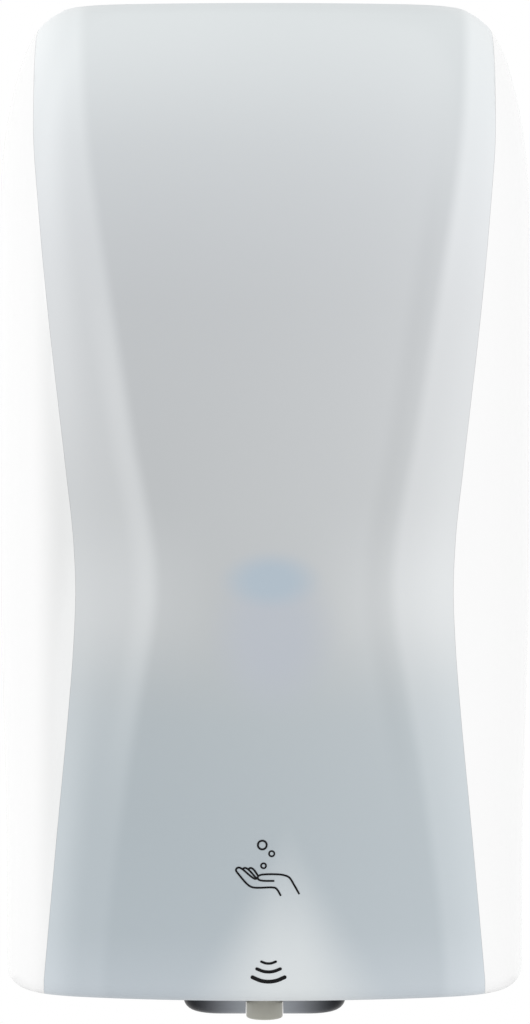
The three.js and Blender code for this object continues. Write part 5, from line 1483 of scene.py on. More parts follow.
@dataclass
class Cover:
    """The swinging front: white shell, frosted window panel and the marks on it."""

    palette: Palette
    form: BodyForm = FORM
    size: CoverForm = CoverForm()

    def body(self, inset: float, back_y: float) -> BMesh:
        """The casing's solid taken in by an inset, run back to a depth."""
        low, high = self.form.bottom + inset, self.form.top - inset
        levels = [low + share * (high - low) for share in self.form.level_shares]
        return lofted([self.form.ring(z, inset, back_y) for z in levels])

    def panel_prism(self, outset: float, reach: float, back_y: float) -> BMesh:
        """The window panel's outline as a prism from far in front to a depth.

        Args:
            outset: how far the outline is grown.
            reach: how far it runs past top and bottom.
            back_y: depth at which it ends.

        Returns:
            The mesh.
        """
        front = -self.form.depth - OVERRUN
        steps = self.size.panel_steps
        right = []
        for i in range(steps + 1):
            z = self.form.bottom + self.form.height * i / steps
            past = {0: -reach, steps: reach}.get(i, 0.0)
            right.append((self.form.panel_half(z) + outset, z + past))
        outline = [Vector((x, front, z)) for x, z in right]
        outline += [Vector((-x, front, z)) for x, z in reversed(right)]
        return prism(outline, Vector((0, back_y - front, 0)))

    @property
    def return_y(self) -> float:
        """Depth at which the panel's returns over the top and the bottom end."""
        return self.size.return_setback - self.form.straight_side

    def tray_door(self) -> BMesh:
        """Cut-out in the bottom round the tray."""
        s = self.size
        low = self.form.bottom - OVERRUN
        outline = level_ring(s.door_half, s.door_corner, low, (0.0, s.door_y))
        return prism(outline, Vector((0, 0, 1.5 * OVERRUN)))

    def shell(self) -> bpy.types.Object:
        """Build the white wings with the ledge, the ears, the catch and the key slot."""
        s = self.size
        shell = Solid(self.body(0, s.rear_y)).cut(
            self.body(self.form.wall, s.rear_y + OVERRUN),
            self.panel_prism(s.seam, OVERRUN, self.return_y + s.seam),
        )
        outer = s.panel_wall + s.ledge_sink
        inner = outer + s.ledge_wall
        ledge = Solid(self.body(outer, s.rear_y + OVERRUN))
        ledge.cut(self.body(inner, s.rear_y + 2 * OVERRUN))
        ledge.keep(self.panel_prism(s.ledge_root, OVERRUN, self.return_y + s.ledge_root))
        ledge.cut(self.panel_prism(-s.ledge_reach, -(inner + s.ledge_reach / 2), OVERRUN))
        shell.join(ledge.working())
        for side in (-1, 1):
            self._hang(shell, side)
        shell.join(block(
            (-s.catch_half, s.catch_y[0], s.catch_low),
            (s.catch_half, s.catch_y[1], self.form.top - self.form.wall / 2),
        ))
        shell.cut(
            block((-s.key_half, s.key_y[0], self.form.top - OVERRUN),
                  (s.key_half, s.key_y[1], self.form.top + OVERRUN)),
            self.tray_door(),
        )
        dressing = Dressing("cover_wings", Body.COVER, "white_shell", ("cover_shell",))
        return place_piece(shell.working(), dressing, [self.palette["cover_gloss"]])

    def _hang(self, shell: Solid, side: int) -> None:
        """Cut the room for the wall plate's lug, add the ear beside it and bore it.

        Args:
            shell: the cover's shell.
            side: -1 on the left, 1 on the right.
        """
        s = self.size
        outer = side * (s.hinge_half - CLEARANCE)
        x0, x1 = sorted((outer, outer - side * s.ear_width))
        lug = sorted((outer, side * (s.hinge_half + s.lug_width + 2 * CLEARANCE)))
        shell.cut(block(
            (lug[0], s.hinge_y - s.ear_radius - 4 * CLEARANCE, self.form.bottom - OVERRUN),
            (lug[1], OVERRUN, s.hinge_z + s.ear_radius + CLEARANCE),
        ))
        shell.join(
            bar(Axis.X, s.ear_radius, x0, x1, (s.hinge_y, s.hinge_z)),
            block((x0, s.hinge_y - s.ear_reach, self.form.bottom + self.form.wall / 2),
                  (x1, s.hinge_y, s.hinge_z + s.ear_radius)),
        )
        bore = s.pin_radius + CLEARANCE
        shell.cut(bar(Axis.X, bore, x0 - OVERRUN, x1 + OVERRUN / 10, (s.hinge_y, s.hinge_z)))

    def panel(self) -> bpy.types.Object:
        """Build the frosted window panel, its front and back in their own finishes."""
        s = self.size
        panel = Solid(self.body(0, s.rear_y)).cut(self.body(s.panel_wall, s.rear_y + OVERRUN))
        panel.keep(self.panel_prism(-s.seam, OVERRUN, self.return_y - s.seam))
        panel.cut(self.tray_door())
        core = self.form.top / 2

        def front_or_back(face: bmesh.types.BMFace) -> int:
            """0 on the outer skin, 1 elsewhere."""
            c = face.calc_center_median()
            heart = Vector((0, -self.form.straight_side / 2, max(-core, min(c.z, core))))
            return int(face.normal.dot(c - heart) < 0)

        dressing = Dressing("window_panel_fine", Body.COVER, "frosted_panel", ("window_panel",))
        finishes = [self.palette["frosted_panel"], self.palette["frosted_back"]]
        return place_piece(panel.working(), dressing, finishes, front_or_back)

    def printed(self) -> bpy.types.Object:
        """Build the printed pictograms."""
        bm = bmesh.new()
        for stroke in marks():
            ribbon(bm, stroke)
        bmesh.ops.recalc_face_normals(bm, faces=bm.faces)
        dressing = Dressing("panel_pictograms", Body.COVER, "dark_plastic")
        return place_piece(bm, dressing, [self.palette["black_ink"]])

    def build(self) -> None:
        """Build the whole cover."""
        self.shell()
        self.panel()
        self.printed()


# Tray, bottle and pump


PUMP_Y = -88.0


@dataclass(frozen=True)
class TrayForm:
    """Sizes of the bottom tray and of the sensor window's hole."""

    half: Point = (26.5, 31.0)
    centre_y: float = -81.0
    low: float = -167.0
    top: float = -144.3
    wall: float = 2.0
    corner: float = 12.0
    edge: float = 4.0
    edge_steps: int = 10
    sharpest_corner: float = 1.0
    slot_half: float = 6.1
    slot_steps: int = 24
    window_half: Point = (10.3, 4.3)
    window_y: float = -63.0


@dataclass
class Tray:
    """The satin nose under the casing that frames the nozzle and the sensor's window."""

    palette: Palette
    size: TrayForm = TrayForm()

    def _body(self, inset: float, top: float) -> BMesh:
        """The tray's solid.

        Args:
            inset: how far it is taken in.
            top: height of its upper end.

        Returns:
            The mesh.
        """
        s = self.size
        edge = s.edge - inset
        sections = []
        for i in range(s.edge_steps + 1):
            angle = QUARTER * i / s.edge_steps
            low = s.low + inset + edge * (1 - math.cos(angle))
            sections.append((inset + edge * (1 - math.sin(angle)), low))
        sections.append((inset, top))
        return lofted([
            level_ring(
                (s.half[0] - drawn, s.half[1] - drawn), max(s.corner - drawn, s.sharpest_corner), z,
                (0.0, s.centre_y),
            )
            for drawn, z in sections
        ])

    def _slot(self, half: float, low: float, top: float) -> BMesh:
        """A slot open to the front, round at its rear end.

        Args:
            half: half its width.
            low: its lower end.
            top: its upper end.

        Returns:
            The mesh.
        """
        front = -FORM.depth - OVERRUN
        outline = [(half, front), (half, PUMP_Y)]
        for i in range(1, self.size.slot_steps):
            angle = math.pi * i / self.size.slot_steps
            outline.append((half * math.cos(angle), PUMP_Y + half * math.sin(angle)))
        outline += [(-half, PUMP_Y), (-half, front)]
        return prism([Vector((x, y, low)) for x, y in outline], Vector((0, 0, top - low)))

    def shell(self) -> bpy.types.Object:
        """Build the tray with its slot, cheeks and window hole."""
        s = self.size
        below = s.low - OVERRUN
        cheeks = Solid(self._slot(s.slot_half + s.wall, below, s.top)).keep(self._body(0, s.top))
        shell = Solid(self._body(0, s.top)).cut(self._body(s.wall, s.top + OVERRUN))
        shell.join(cheeks.working())
        wide, deep = s.window_half
        shell.cut(
            self._slot(s.slot_half, below, s.top + OVERRUN),
            block((-wide, s.window_y - deep, below), (wide, s.window_y + deep, s.low + 2 * s.wall)),
        )
        dressing = Dressing("tray_fine", Body.FRAME, "satin_metal", ("bottom_tray",))
        return place_piece(shell.working(), dressing, [self.palette["satin_metal"]])

    def build(self) -> None:
        """Build the tray."""
        self.shell()


@dataclass(frozen=True)
class BottleForm:
    """Sizes of the bottle, from its open neck to its crown."""

    wall: float = 1.4
    neck: float = 16.2
    neck_low: float = -27.5
    neck_top: float = -18.9
    low: float = -17.7
    base: Point = (30.0, 25.0)
    base_corner: float = 16.0
    shoulder: float = 7.0
    shoulder_steps: int = 4
    body: Point = (58.0, 40.0)
    body_corner: float = 20.0
    body_steps: int = 8
    crown: float = 14.0
    crown_drawn: float = 11.0
    crown_steps: int = 7
    top: float = 126.0
    base_back: float = 1.5
    body_back: float = 6.0


@dataclass(frozen=True)
class PumpForm:
    """Sizes of the collar, pump and nozzle."""

    collar_low: float = -36.0
    collar_high: float = -18.0
    collar_radius: float = 20.0
    collar_lip: float = 3.0
    collar_steps: int = 112
    grooves: int = 28
    groove_radius: float = 0.8
    groove_sides: int = 12
    body_radius: float = 15.0
    body_low: float = -84.0
    floor: float = 2.5
    bore: float = 11.6
    bore_top: float = -40.0
    inlet_radius: float = 2.2
    flange_radius: float = 16.2
    flange_low: float = -33.3
    flange_top: float = -29.7
    flange_ease: float = 0.5
    stem_radius: float = 6.0
    stem_gap: float = 0.35
    pump_steps: int = 96
    nozzle_radius: float = 6.0
    outlet_radius: float = 3.2
    tip: float = -172.0
    tip_ease: float = 0.6
    tip_steps: int = 8
    nozzle_top: float = -138.0
    socket_radius: float = 4.1
    socket_low: float = -146.3


@dataclass
class Cartridge:
    """The soap bottle with its screw collar, pump and nozzle."""

    palette: Palette
    flask: BottleForm = BottleForm()
    size: PumpForm = PumpForm()

    def bottle(self) -> bpy.types.Object:
        """Build the bottle from smooth rings, open at its neck."""
        outer = lofted(self._bottle_rings(0.0, self.flask.neck_low))
        inner = lofted(self._bottle_rings(self.flask.wall, self.flask.neck_low - OVERRUN))
        bottle = Solid(outer).cut(inner)
        dressing = Dressing(
            "bottle_fine", Body.CARTRIDGE, "bottle_plastic", ("soap_bottle",), smooth_deg=50.0
        )
        return place_piece(bottle.working(), dressing, [self.palette["milky_bottle"]])

    def _bottle_rings(self, inset: float, lowest: float) -> list[list[Vector]]:
        """Level rings of the bottle.

        Args:
            inset: how far they are taken in.
            lowest: height of the first.

        Returns:
            The rings, lowest first.
        """
        s = self.flask
        neck, low, crown_low = s.neck - inset, s.low + inset, s.top - s.crown
        base, body = (tuple(half - inset for half in halves) for halves in (s.base, s.body))
        ends = (lowest, s.neck_top + inset)
        rings = [level_ring((neck, neck), neck, z, (0, PUMP_Y)) for z in ends]
        for i in range(s.shoulder_steps + 1):
            t = i / s.shoulder_steps
            ease = math.sin(QUARTER * t)
            half = tuple(neck + (wide - neck) * ease for wide in base)
            corner = neck + (s.base_corner - inset - neck) * t
            z = low + s.shoulder * (1 - math.cos(QUARTER * t))
            rings.append(level_ring(half, corner, z, (0, PUMP_Y + s.base_back * t)))
        for i in range(1, s.body_steps + 1):
            t = i / s.body_steps
            half = tuple(b + (w - b) * t for b, w in zip(base, body))
            corner = s.base_corner + (s.body_corner - s.base_corner) * t - inset
            z = low + s.shoulder + (crown_low - low - s.shoulder) * t
            back = s.base_back + (s.body_back - s.base_back) * t
            rings.append(level_ring(half, corner, z, (0, PUMP_Y + back)))
        for i in range(1, s.crown_steps + 1):
            angle = QUARTER * i / s.crown_steps
            drawn = s.crown_drawn * (1 - math.cos(angle))
            half = tuple(wide - drawn for wide in body)
            corner = s.body_corner - inset - drawn / 2
            z = crown_low + (s.crown - inset) * math.sin(angle)
            rings.append(level_ring(half, corner, z, (0, PUMP_Y + s.body_back)))
        return rings

    def collar(self) -> bpy.types.Object:
        """Build the grooved screw collar."""
        s = self.size
        r, low, high, lip = s.collar_radius, s.collar_low, s.collar_high, s.collar_lip
        bore, wide = s.body_radius + CLEARANCE, self.flask.neck + CLEARANCE
        profile = [
            (bore, low), (r - 1.2, low), (r - 0.4, low + 0.4), (r, low + 1.2), (r, high - 2.6),
            (r - 0.3, high - 0.7), (r - 1.0, high), (wide + 0.4, high), (wide, high - 0.4),
            (wide, low + lip), (bore, low + lip), (bore, low),
        ]
        collar = Solid(turned(profile, (0, PUMP_Y), s.collar_steps))
        for i in range(s.grooves):
            angle = 2 * math.pi * i / s.grooves
            place = (r * math.cos(angle), PUMP_Y + r * math.sin(angle))
            collar.cut(bar(
                Axis.Z, s.groove_radius, low - OVERRUN, high - lip, place, s.groove_sides
            ))
        dressing = Dressing("collar_fine", Body.CARTRIDGE, "blue_plastic", ("bottle_collar",))
        return place_piece(collar.working(), dressing, [self.palette["blue_plastic"]])

    def pump(self) -> bpy.types.Object:
        """Build the pump's body with its eased flange."""
        s = self.size
        low, hole, r = s.body_low, s.stem_radius + s.stem_gap, s.body_radius
        wide, ease, floor = s.flange_radius, s.flange_ease, s.body_low + s.floor
        profile = [
            (hole, low + 0.5), (hole + 0.5, low), (r - 1.4, low), (r - 0.4, low + 0.4),
            (r, low + 1.4), (r, s.flange_low), (wide, s.flange_low + 0.6),
            (wide, s.flange_top - ease), (wide - ease, s.flange_top),
            (s.inlet_radius, s.flange_top), (s.inlet_radius, s.bore_top),
            (s.bore, s.bore_top), (s.bore, floor), (hole, floor), (hole, low + 0.5),
        ]
        dressing = Dressing("pump_body_fine", Body.CARTRIDGE, "white_plastic", ("pump_body",))
        pump = turned(profile, (0, PUMP_Y), s.pump_steps)
        return place_piece(pump, dressing, [self.palette["white_plastic"]])

    def nozzle(self) -> bpy.types.Object:
        """Build the foam nozzle with its rounded tip and outlet."""
        s = self.size
        r, out, tip, top, ease = s.nozzle_radius, s.outlet_radius, s.tip, s.nozzle_top, s.tip_ease
        profile = [(out, tip + ease), (out + ease / 3, tip + ease / 3), (out + ease, tip)]
        profile += rounded_corner(r, tip, ease, s.tip_steps)
        profile += [
            (r, top - 0.5), (r - 0.5, top), (s.socket_radius, top), (s.socket_radius, s.socket_low),
            (out, s.socket_low), (out, tip + ease),
        ]
        dressing = Dressing("nozzle_fine", Body.PISTON, "nozzle_plastic", ("nozzle",))
        nozzle = turned(profile, (0, PUMP_Y))
        return place_piece(nozzle, dressing, [self.palette["nozzle_plastic"]])

    def build(self) -> None:
        """Build the bottle and what hangs on it."""
        self.bottle()
        self.collar()
        self.pump()
        self.nozzle()


@dataclass(frozen=True)
class Coil:
    """A compression spring between two seats."""

    name: str
    replaces: str
    body: Body
    joint: str
    radius: float
    wire: float
    turns: float
    low: float
    high: float
    centre: Point
    anchor: float
    travel: float
    closed_turns: float = 1.0
    closed_gap: float = 1.04
    blend_turns: float = 0.25
    steps_per_turn: int = 36

    def points(self) -> list[Vector]:
        """Points along the wire's middle, its end turns closed."""
        low, high = self.low + self.wire, self.high - self.wire
        pitch_end = 2 * self.wire * self.closed_gap
        open_turns = self.turns - 2 * self.closed_turns
        rise = (high - low - 2 * self.closed_turns * pitch_end) / open_turns
        count = round(self.turns * self.steps_per_turn)
        z, points = low, []
        for i in range(count + 1):
            turn = i / self.steps_per_turn
            angle = 2 * math.pi * turn
            points.append(Vector((
                self.centre[0] + self.radius * math.cos(angle),
                self.centre[1] + self.radius * math.sin(angle), z,
            )))
            edge = min(turn, self.turns - turn) - self.closed_turns
            share = min(1.0, max(0.0, edge / self.blend_turns + 0.5))
            z += (pitch_end + (rise - pitch_end) * share) / self.steps_per_turn
        over = points[-1].z - high
        for i, point in enumerate(points):
            point.z -= over * i / count
        return points

    def build(self, palette: Palette) -> bpy.types.Object:
        """Build the spring as a tube along its wire.

        Args:
            palette: the finishes.

        Returns:
            The spring's object.
        """
        bm = tube(self.points(), self.wire)
        dressing = Dressing(self.name, self.body, "steel", (self.replaces,), smooth_deg=60.0)
        piece = place_piece(bm, dressing, [palette["steel"]])
        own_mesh(piece)
        return piece


SPRINGS = (
    Coil(
        "pump_spring_wound", "pump_spring", Body.CARTRIDGE, "pump_stroke", radius=8.6, wire=0.6,
        turns=7.0, low=-73.6, high=-40.3, centre=(0, PUMP_Y), anchor=-40.3, travel=11.0,
    ),
    Coil(
        "latch_spring_wound", "latch_spring", Body.FRAME, "latch_press", radius=3.2, wire=0.5,
        turns=4.0, low=124.5, high=140.8, centre=(0, -24.6), anchor=124.5, travel=4.0,
    ),
)


# Frame pieces with eased edges


@dataclass(frozen=True)
class Eased:
    """A frame piece shown by a copy of its solid with eased edges."""

    node: str
    finish: str
    ease: float
    body: Body = Body.FRAME
    slot: str = ""
    weld: float = 2e-3
    flat_deg: float = 0.5
    sharp_deg: float = 40.0
    smooth_deg: float = 25.0
    segments: int = 2
    face_weight: int = 80

    def _is_outer(self, edge: bmesh.types.BMEdge) -> bool:
        """Whether an edge is a sharp outer one that is long enough to be eased."""
        if len(edge.link_faces) != 2 or edge.calc_length() <= self.ease:
            return False
        return edge.calc_face_angle_signed() > math.radians(self.sharp_deg)

    def build(self, palette: Palette) -> bpy.types.Object:
        """Copy the node's solid, ease its outer edges and dress it.

        Args:
            palette: the finishes.

        Returns:
            The piece's object.
        """
        bm = bmesh.new()
        bm.from_mesh(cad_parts[self.node].data)
        bmesh.ops.scale(bm, vec=(1 / MM,) * 3, verts=bm.verts)
        bmesh.ops.remove_doubles(bm, verts=bm.verts, dist=self.weld)
        bmesh.ops.dissolve_limit(
            bm, angle_limit=math.radians(self.flat_deg), use_dissolve_boundaries=False,
            verts=bm.verts, edges=bm.edges, delimit=set(),
        )
        bmesh.ops.recalc_face_normals(bm, faces=bm.faces)
        bmesh.ops.bevel(
            bm, geom=[edge for edge in bm.edges if self._is_outer(edge)], offset=self.ease,
            segments=self.segments, profile=0.5, affect="EDGES", clamp_overlap=True, material=-1,
        )
        slot = self.slot or self.finish
        dressing = Dressing(f"{self.node}_eased", self.body, slot, (self.node,), self.smooth_deg)
        piece = place_piece(bm, dressing, [palette[self.finish]])
        even = piece.modifiers.new("even_faces", "WEIGHTED_NORMAL")
        even.keep_sharp = True
        even.weight = self.face_weight
        return piece


# Pieces modelled anew


@dataclass(frozen=True)
class Round:
    """A plain turned part along a row axis, its ends chamfered."""

    node: str
    axis: Axis
    radius: float
    span: Pair
    centre: Point
    chamfer: float = 0.3
    body: Body = Body.FRAME
    finish: str = "steel"
    steps: int = 48

    def build(self, palette: Palette) -> bpy.types.Object:
        """Turn the part and dress it.

        Args:
            palette: the finishes.

        Returns:
            The piece's object.
        """
        length, r, c = self.span[1] - self.span[0], self.radius, self.chamfer
        profile = [(0, 0), (r - c, 0), (r, c), (r, length - c), (r - c, length), (0, length)]
        place = place_on(self.axis, self.span[0], self.centre)
        bm = laid(turned(profile, (0, 0), self.steps), self.axis, place)
        dressing = Dressing(f"{self.node}_turned", self.body, self.finish, (self.node,))
        return place_piece(bm, dressing, [palette[self.finish]])


@dataclass(frozen=True)
class Screw:
    """A cheese-head screw along Y with a cross recess and a rolled thread."""

    node: str
    place: Point
    head_back: float
    tip: float
    shank_radius: float
    head_radius: float
    head: float
    head_ease: float = 0.6
    head_steps: int = 6
    rim: float = 0.15
    pitch: float = 1.1
    core: float = 0.78
    thread_start: float = 0.8
    thread_end: float = 1.4
    thread: tuple[Pair, ...] = ((0.0, 0.0), (0.42, 1.0), (0.5, 1.0), (0.92, 0.0))
    point: float = 1.2
    point_radius: float = 0.25
    recess: Pair = (0.62, 0.16)
    recess_floor: float = 0.45
    steps: int = 36

    def build(self, palette: Palette) -> bpy.types.Object:
        """Turn the screw, cut its recess and dress it.

        Args:
            palette: the finishes.

        Returns:
            The screw's object.
        """
        r, shank, head, rim = self.head_radius, self.shank_radius, self.head, self.rim
        core = self.core * shank
        length = self.tip - self.head_back
        profile = [(0, -head), *rounded_corner(r, -head, self.head_ease, self.head_steps)[1:]]
        profile += [(r, -rim), (r - rim, 0), (core, 0), (core, self.head_ease)]
        turns = int((length - self.thread_start - self.thread_end) / self.pitch)
        for i in range(turns):
            z = self.thread_start + i * self.pitch
            for share, out in self.thread:
                profile.append((core + (shank - core) * out, z + share * self.pitch))
        profile += [(core, length - self.point), (self.point_radius, length), (0, length)]
        screw = Solid(turned(profile, (0, 0), self.steps))
        for sizes in (self.recess, reversed(self.recess)):
            x, y = (share * r for share in sizes)
            screw.cut(block((-x, -y, -head - 1), (x, y, -self.recess_floor * head)))
        bm = laid(screw.working(), Axis.Y, (self.place[0], self.head_back, self.place[1]))
        dressing = Dressing(f"{self.node}_threaded", Body.FRAME, "steel", (self.node,))
        return place_piece(bm, dressing, [palette["steel"]])


@dataclass(frozen=True)
class DryCell:
    """One upright cell: crimped sleeve, steel end faces and positive cap."""

    node: str
    centre: Point
    low: float = -137.9
    radius: float = 13.0
    length: float = 49.0
    crimp: float = 1.6
    dish: float = 0.5
    cap_radius: float = 3.4
    cap: float = 1.5
    cap_ease: float = 0.4
    steps: int = 64

    def build(self, palette: Palette) -> bpy.types.Object:
        """Turn the cell and dress it.

        Args:
            palette: the finishes.

        Returns:
            The cell's object.
        """
        low, high, r = self.low, self.low + self.length, self.radius
        crimp, dished, cap_top = r - self.crimp, high - self.dish, high + self.cap
        cap, ease = self.cap_radius, self.cap_ease
        profile = [
            (0, low + 0.3), (crimp - 1, low + 0.3), (crimp, low), (r - 0.5, low), (r, low + 0.6),
            (r, high - 0.6), (r - 0.5, high), (crimp, high), (crimp - 0.6, dished),
            (cap + 1.2, dished), (cap, high), (cap, cap_top - ease), (cap - ease, cap_top),
            (0, cap_top),
        ]

        def bare(face: bmesh.types.BMFace) -> int:
            """1 on the metal end faces, 0 on the sleeve."""
            c = face.calc_center_median()
            return int(math.hypot(c.x - self.centre[0], c.y - self.centre[1]) < crimp - 0.1)

        dressing = Dressing(f"{self.node}_sleeved", Body.FRAME, "cell_sleeve", (self.node,))
        finishes = [palette["cell_sleeve"], palette["steel"]]
        return place_piece(turned(profile, self.centre, self.steps), dressing, finishes, bare)


@dataclass(frozen=True)
class Cable:
    """A round cable between two pieces, on a route through chosen points."""

    node: str
    radius: float
    points: tuple[tuple[float, float, float], ...]

    def build(self, palette: Palette) -> bpy.types.Object:
        """Run the cable and dress it.

        Args:
            palette: the finishes.

        Returns:
            The cable's object.
        """
        path = route([Vector(p) for p in self.points], steps=10)
        name = f"{self.node}_round"
        dressing = Dressing(name, Body.FRAME, "cable", (self.node,), smooth_deg=50.0)
        return place_piece(tube(path, self.radius), dressing, [palette["cable_sheath"]])


CHASSIS_SCREWS = tuple(
    Screw(
        f"chassis_screw_{i}", place, head_back=-23.3, tip=-11.0, shank_radius=1.6, head_radius=3.2,
        head=1.8,
    )
    for i, place in enumerate(((-67, -92), (-67, 66), (67, -92), (67, 66)), 1)
)
GEARBOX_SCREWS = tuple(
    Screw(
        f"gearbox_screw_{i}", place, head_back=-103.5, tip=-69.4, shank_radius=1.6, head_radius=3.0,
        head=1.6,
    )
    for i, place in enumerate(((66.5, -116.5), (66.5, -60.5)), 1)
)
CELLS = tuple(
    DryCell(f"battery_cell_{i}", centre)
    for i, centre in enumerate(((-35, -49), (-61.4, -49), (-35, -75.4), (-61.4, -75.4)), 1)
)
CABLES = (
    Cable("motor_cable", 1.2, (
        (57.5, -43.8, -86.88), (57.5, -41.4, -86.88), (52.7, -31.4, -84.48), (36, -31.4, -77.6),
        (0, -31.4, -73.1), (-24, -31.4, -70.7), (-45, -34, -68.3), (-45, -64.55, -55.8),
        (-45, -95.1, -55.8),
    )),
    Cable("sensor_cable", 1.0, (
        (-12, -54, -149.1), (-12, -54, -135), (-10, -34, -117), (-12, -27, -100), (-12, -27, -55.8),
        (-24, -34, -43.3), (-37, -64.55, -46.3), (-37, -95.1, -49.3),
    )),
)
ROUNDS = (
    Round("hinge_pin_left", Axis.X, 1.5, (-69, -55), (-18, -156)),
    Round("hinge_pin_right", Axis.X, 1.5, (55, 69), (-18, -156)),
    Round("guide_rod_left", Axis.Z, 2.0, (-140.7, -40.6), (-13, -68)),
    Round("guide_rod_right", Axis.Z, 2.0, (-140.7, -40.6), (13, -68)),
    Round("output_axle", Axis.Y, 1.5, (-103.2, -74.4), (36, -100)),
    Round("second_axle", Axis.Y, 1.5, (-103.2, -74.4), (41.383, -79.909)),
    Round("first_axle", Axis.Y, 1.5, (-103.2, -74.4), (54.893, -72.109)),
    Round("motor_shaft", Axis.Y, 1.0, (-81.75, -68.1), (57.498, -86.881), body=Body.ROTOR),
    Round("status_light", Axis.Y, 2.0, (-104.3, -97.3), (-45, -55.8), 0.6, finish="light_pipe"),
)
EASED = (
    Eased("wall_plate", "white_gloss", 0.4, slot="white_shell"),
    Eased("chassis", "grey_plastic", 0.4),
    Eased("gearbox_base", "grey_plastic", 0.3),
    Eased("gearbox_cover", "grey_plastic", 0.3),
    Eased("control_housing", "grey_plastic", 0.4),
    Eased("latch_cover", "grey_plastic", 0.4),
    Eased("motor_end_cap", "dark_plastic", 0.4),
    Eased("motor_can", "steel", 0.5),
    Eased("battery_box", "dark_plastic", 0.5),
    Eased("battery_door", "dark_plastic", 0.6, Body.LID),
    Eased("power_switch", "dark_plastic", 0.4, Body.SWITCH),
    Eased("dose_button", "blue_plastic", 0.5, Body.BUTTON),
    Eased("latch_bolt", "dark_plastic", 0.4, Body.LATCH),
    Eased("lift_carriage", "gear_plastic", 0.3, Body.LIFT),
    Eased("output_gear", "gear_plastic", 0.12, Body.OUTPUT),
    Eased("second_gear", "gear_plastic", 0.12, Body.SECOND),
    Eased("first_gear", "gear_plastic", 0.12, Body.FIRST),
    Eased("motor_pinion", "steel", 0.1, Body.ROTOR),
    Eased("lower_contacts", "steel", 0.15),
    Eased("upper_contacts", "steel", 0.15),
    Eased("sensor_window", "dark_lens", 0.35),
    Eased("sensor_board", "circuit_board", 0.15),
    Eased("control_board", "circuit_board", 0.15),
    Eased("ir_emitter", "dark_lens", 0.1),
    Eased("ir_receiver", "dark_lens", 0.1),
    Eased("pump_stem", "white_plastic", 0.25, Body.PISTON),
    Eased("piston_seal", "rubber", 0.25, Body.PISTON),
    Eased("neck_gasket", "rubber", 0.25, Body.CARTRIDGE),
    Eased("inlet_valve", "rubber", 0.2, Body.CARTRIDGE),
)


# Stage, lamps and camera


@dataclass(frozen=True)
class Lamp:
    """A soft round lamp that looks at the dispenser; metres and watts."""

    name: str
    place: tuple[float, float, float]
    size: float
    power: float

    def build(self) -> None:
        """Hang the lamp."""
        lamp = bpy.data.lights.new(self.name, "AREA")
        lamp.shape = "DISK"
        lamp.size = self.size
        lamp.energy = self.power
        holder = bpy.data.objects.new(self.name, lamp)
        holder.location = self.place
        holder.rotation_euler = (-Vector(self.place)).to_track_quat("-Z", "Y").to_euler()
        bpy.context.scene.collection.objects.link(holder)


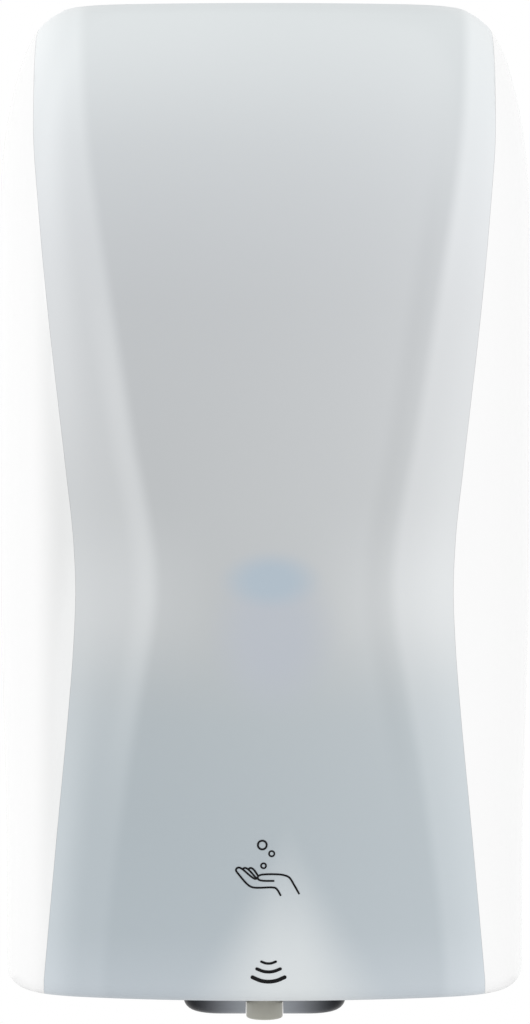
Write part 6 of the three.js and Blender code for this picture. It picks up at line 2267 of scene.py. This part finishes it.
@dataclass(frozen=True)
class Shot:
    """The photograph's view, its floor and its light, in metres."""

    camera: tuple[float, float, float] = (0.0, -1.390, 0.077)
    sensor_mm: float = 36.0
    lens_mm: float = 138.64
    shift: Pair = (0.0005, -0.2434)
    floor_z: float = -0.36
    floor_half: float = 0.7
    floor_finish: Moulded = Moulded("pale_floor", "F2F2F2", 0.8)
    world: float = 0.855
    world_tone: str = "F7F7F7"
    lamps: tuple[Lamp, ...] = (
        Lamp("key", (0.9, -1.2, 0.3), 1.1, 4.2),
        Lamp("fill", (-1.3, -0.35, 0.15), 0.9, 3.5),
    )

    def _world(self) -> None:
        """White behind the object and in its reflections, a plain soft light on it."""
        world = bpy.data.worlds.new("studio")
        world.use_nodes = True
        n = Nodes(world.node_tree)
        out = n.add("OutputWorld")
        seen, light, pick = n.add("Background"), n.add("Background"), n.add("MixShader")
        seen.inputs["Color"].default_value = (1, 1, 1, 1)
        light.inputs["Color"].default_value = opaque(linear(self.world_tone))
        light.inputs["Strength"].default_value = self.world
        path = n.add("LightPath").outputs
        mirrored = n.math("MAXIMUM", path["Is Glossy Ray"], path["Is Transmission Ray"])
        white = n.math("MAXIMUM", path["Is Camera Ray"], mirrored)
        for source, target in zip((white, light.outputs[0], seen.outputs[0]), pick.inputs):
            n.join(source, target)
        n.join(pick.outputs[0], out.inputs["Surface"])
        bpy.context.scene.world = world

    def _one_sided(self) -> Material:
        """The floor's finish, clear from its back, so that it hides nothing from below."""
        parts = self.floor_finish.parts()
        n, shader = parts.n, parts.shader.outputs[0]
        surface = shader.links[0].to_socket
        back = n.add("NewGeometry").outputs["Backfacing"]
        clear, pick = n.add("BsdfTransparent").outputs[0], n.add("MixShader")
        for source, target in zip((back, shader, clear), pick.inputs):
            n.join(source, target)
        n.join(pick.outputs[0], surface)
        return parts.material

    def _floor(self) -> None:
        """A pale floor well under the dispenser, out of the camera's view."""
        bm = bmesh.new()
        bmesh.ops.create_grid(bm, x_segments=1, y_segments=1, size=self.floor_half)
        bmesh.ops.translate(bm, vec=(0, 0, self.floor_z), verts=bm.verts)
        mesh = bpy.data.meshes.new("floor")
        bm.to_mesh(mesh)
        bm.free()
        mesh.materials.append(self._one_sided())
        floor = bpy.data.objects.new("floor", mesh)
        bpy.context.scene.collection.objects.link(floor)

    def build(self) -> None:
        """Set up the floor, the light and the camera."""
        self._floor()
        self._world()
        for lamp in self.lamps:
            lamp.build()
        lens = bpy.data.cameras.new("photo")
        lens.sensor_width, lens.lens = self.sensor_mm, self.lens_mm
        lens.shift_x, lens.shift_y = self.shift
        holder = bpy.data.objects.new("photo", lens)
        holder.location = self.camera
        holder.rotation_euler = (QUARTER, 0, 0)
        scene = bpy.context.scene
        scene.collection.objects.link(holder)
        scene.camera = holder
        scene.view_settings.view_transform = "Standard"


def main() -> None:
    """Dress the frame, light it and place the camera."""
    logging.basicConfig(level=logging.INFO, format="%(message)s")
    palette = Palette()
    Cover(palette).build()
    Tray(palette).build()
    Cartridge(palette).build()
    for piece in (*SPRINGS, *EASED, *ROUNDS, *CHASSIS_SCREWS, *GEARBOX_SCREWS, *CELLS, *CABLES):
        piece.build(palette)
    Shot().build()


if __name__ == "__main__":
    main()
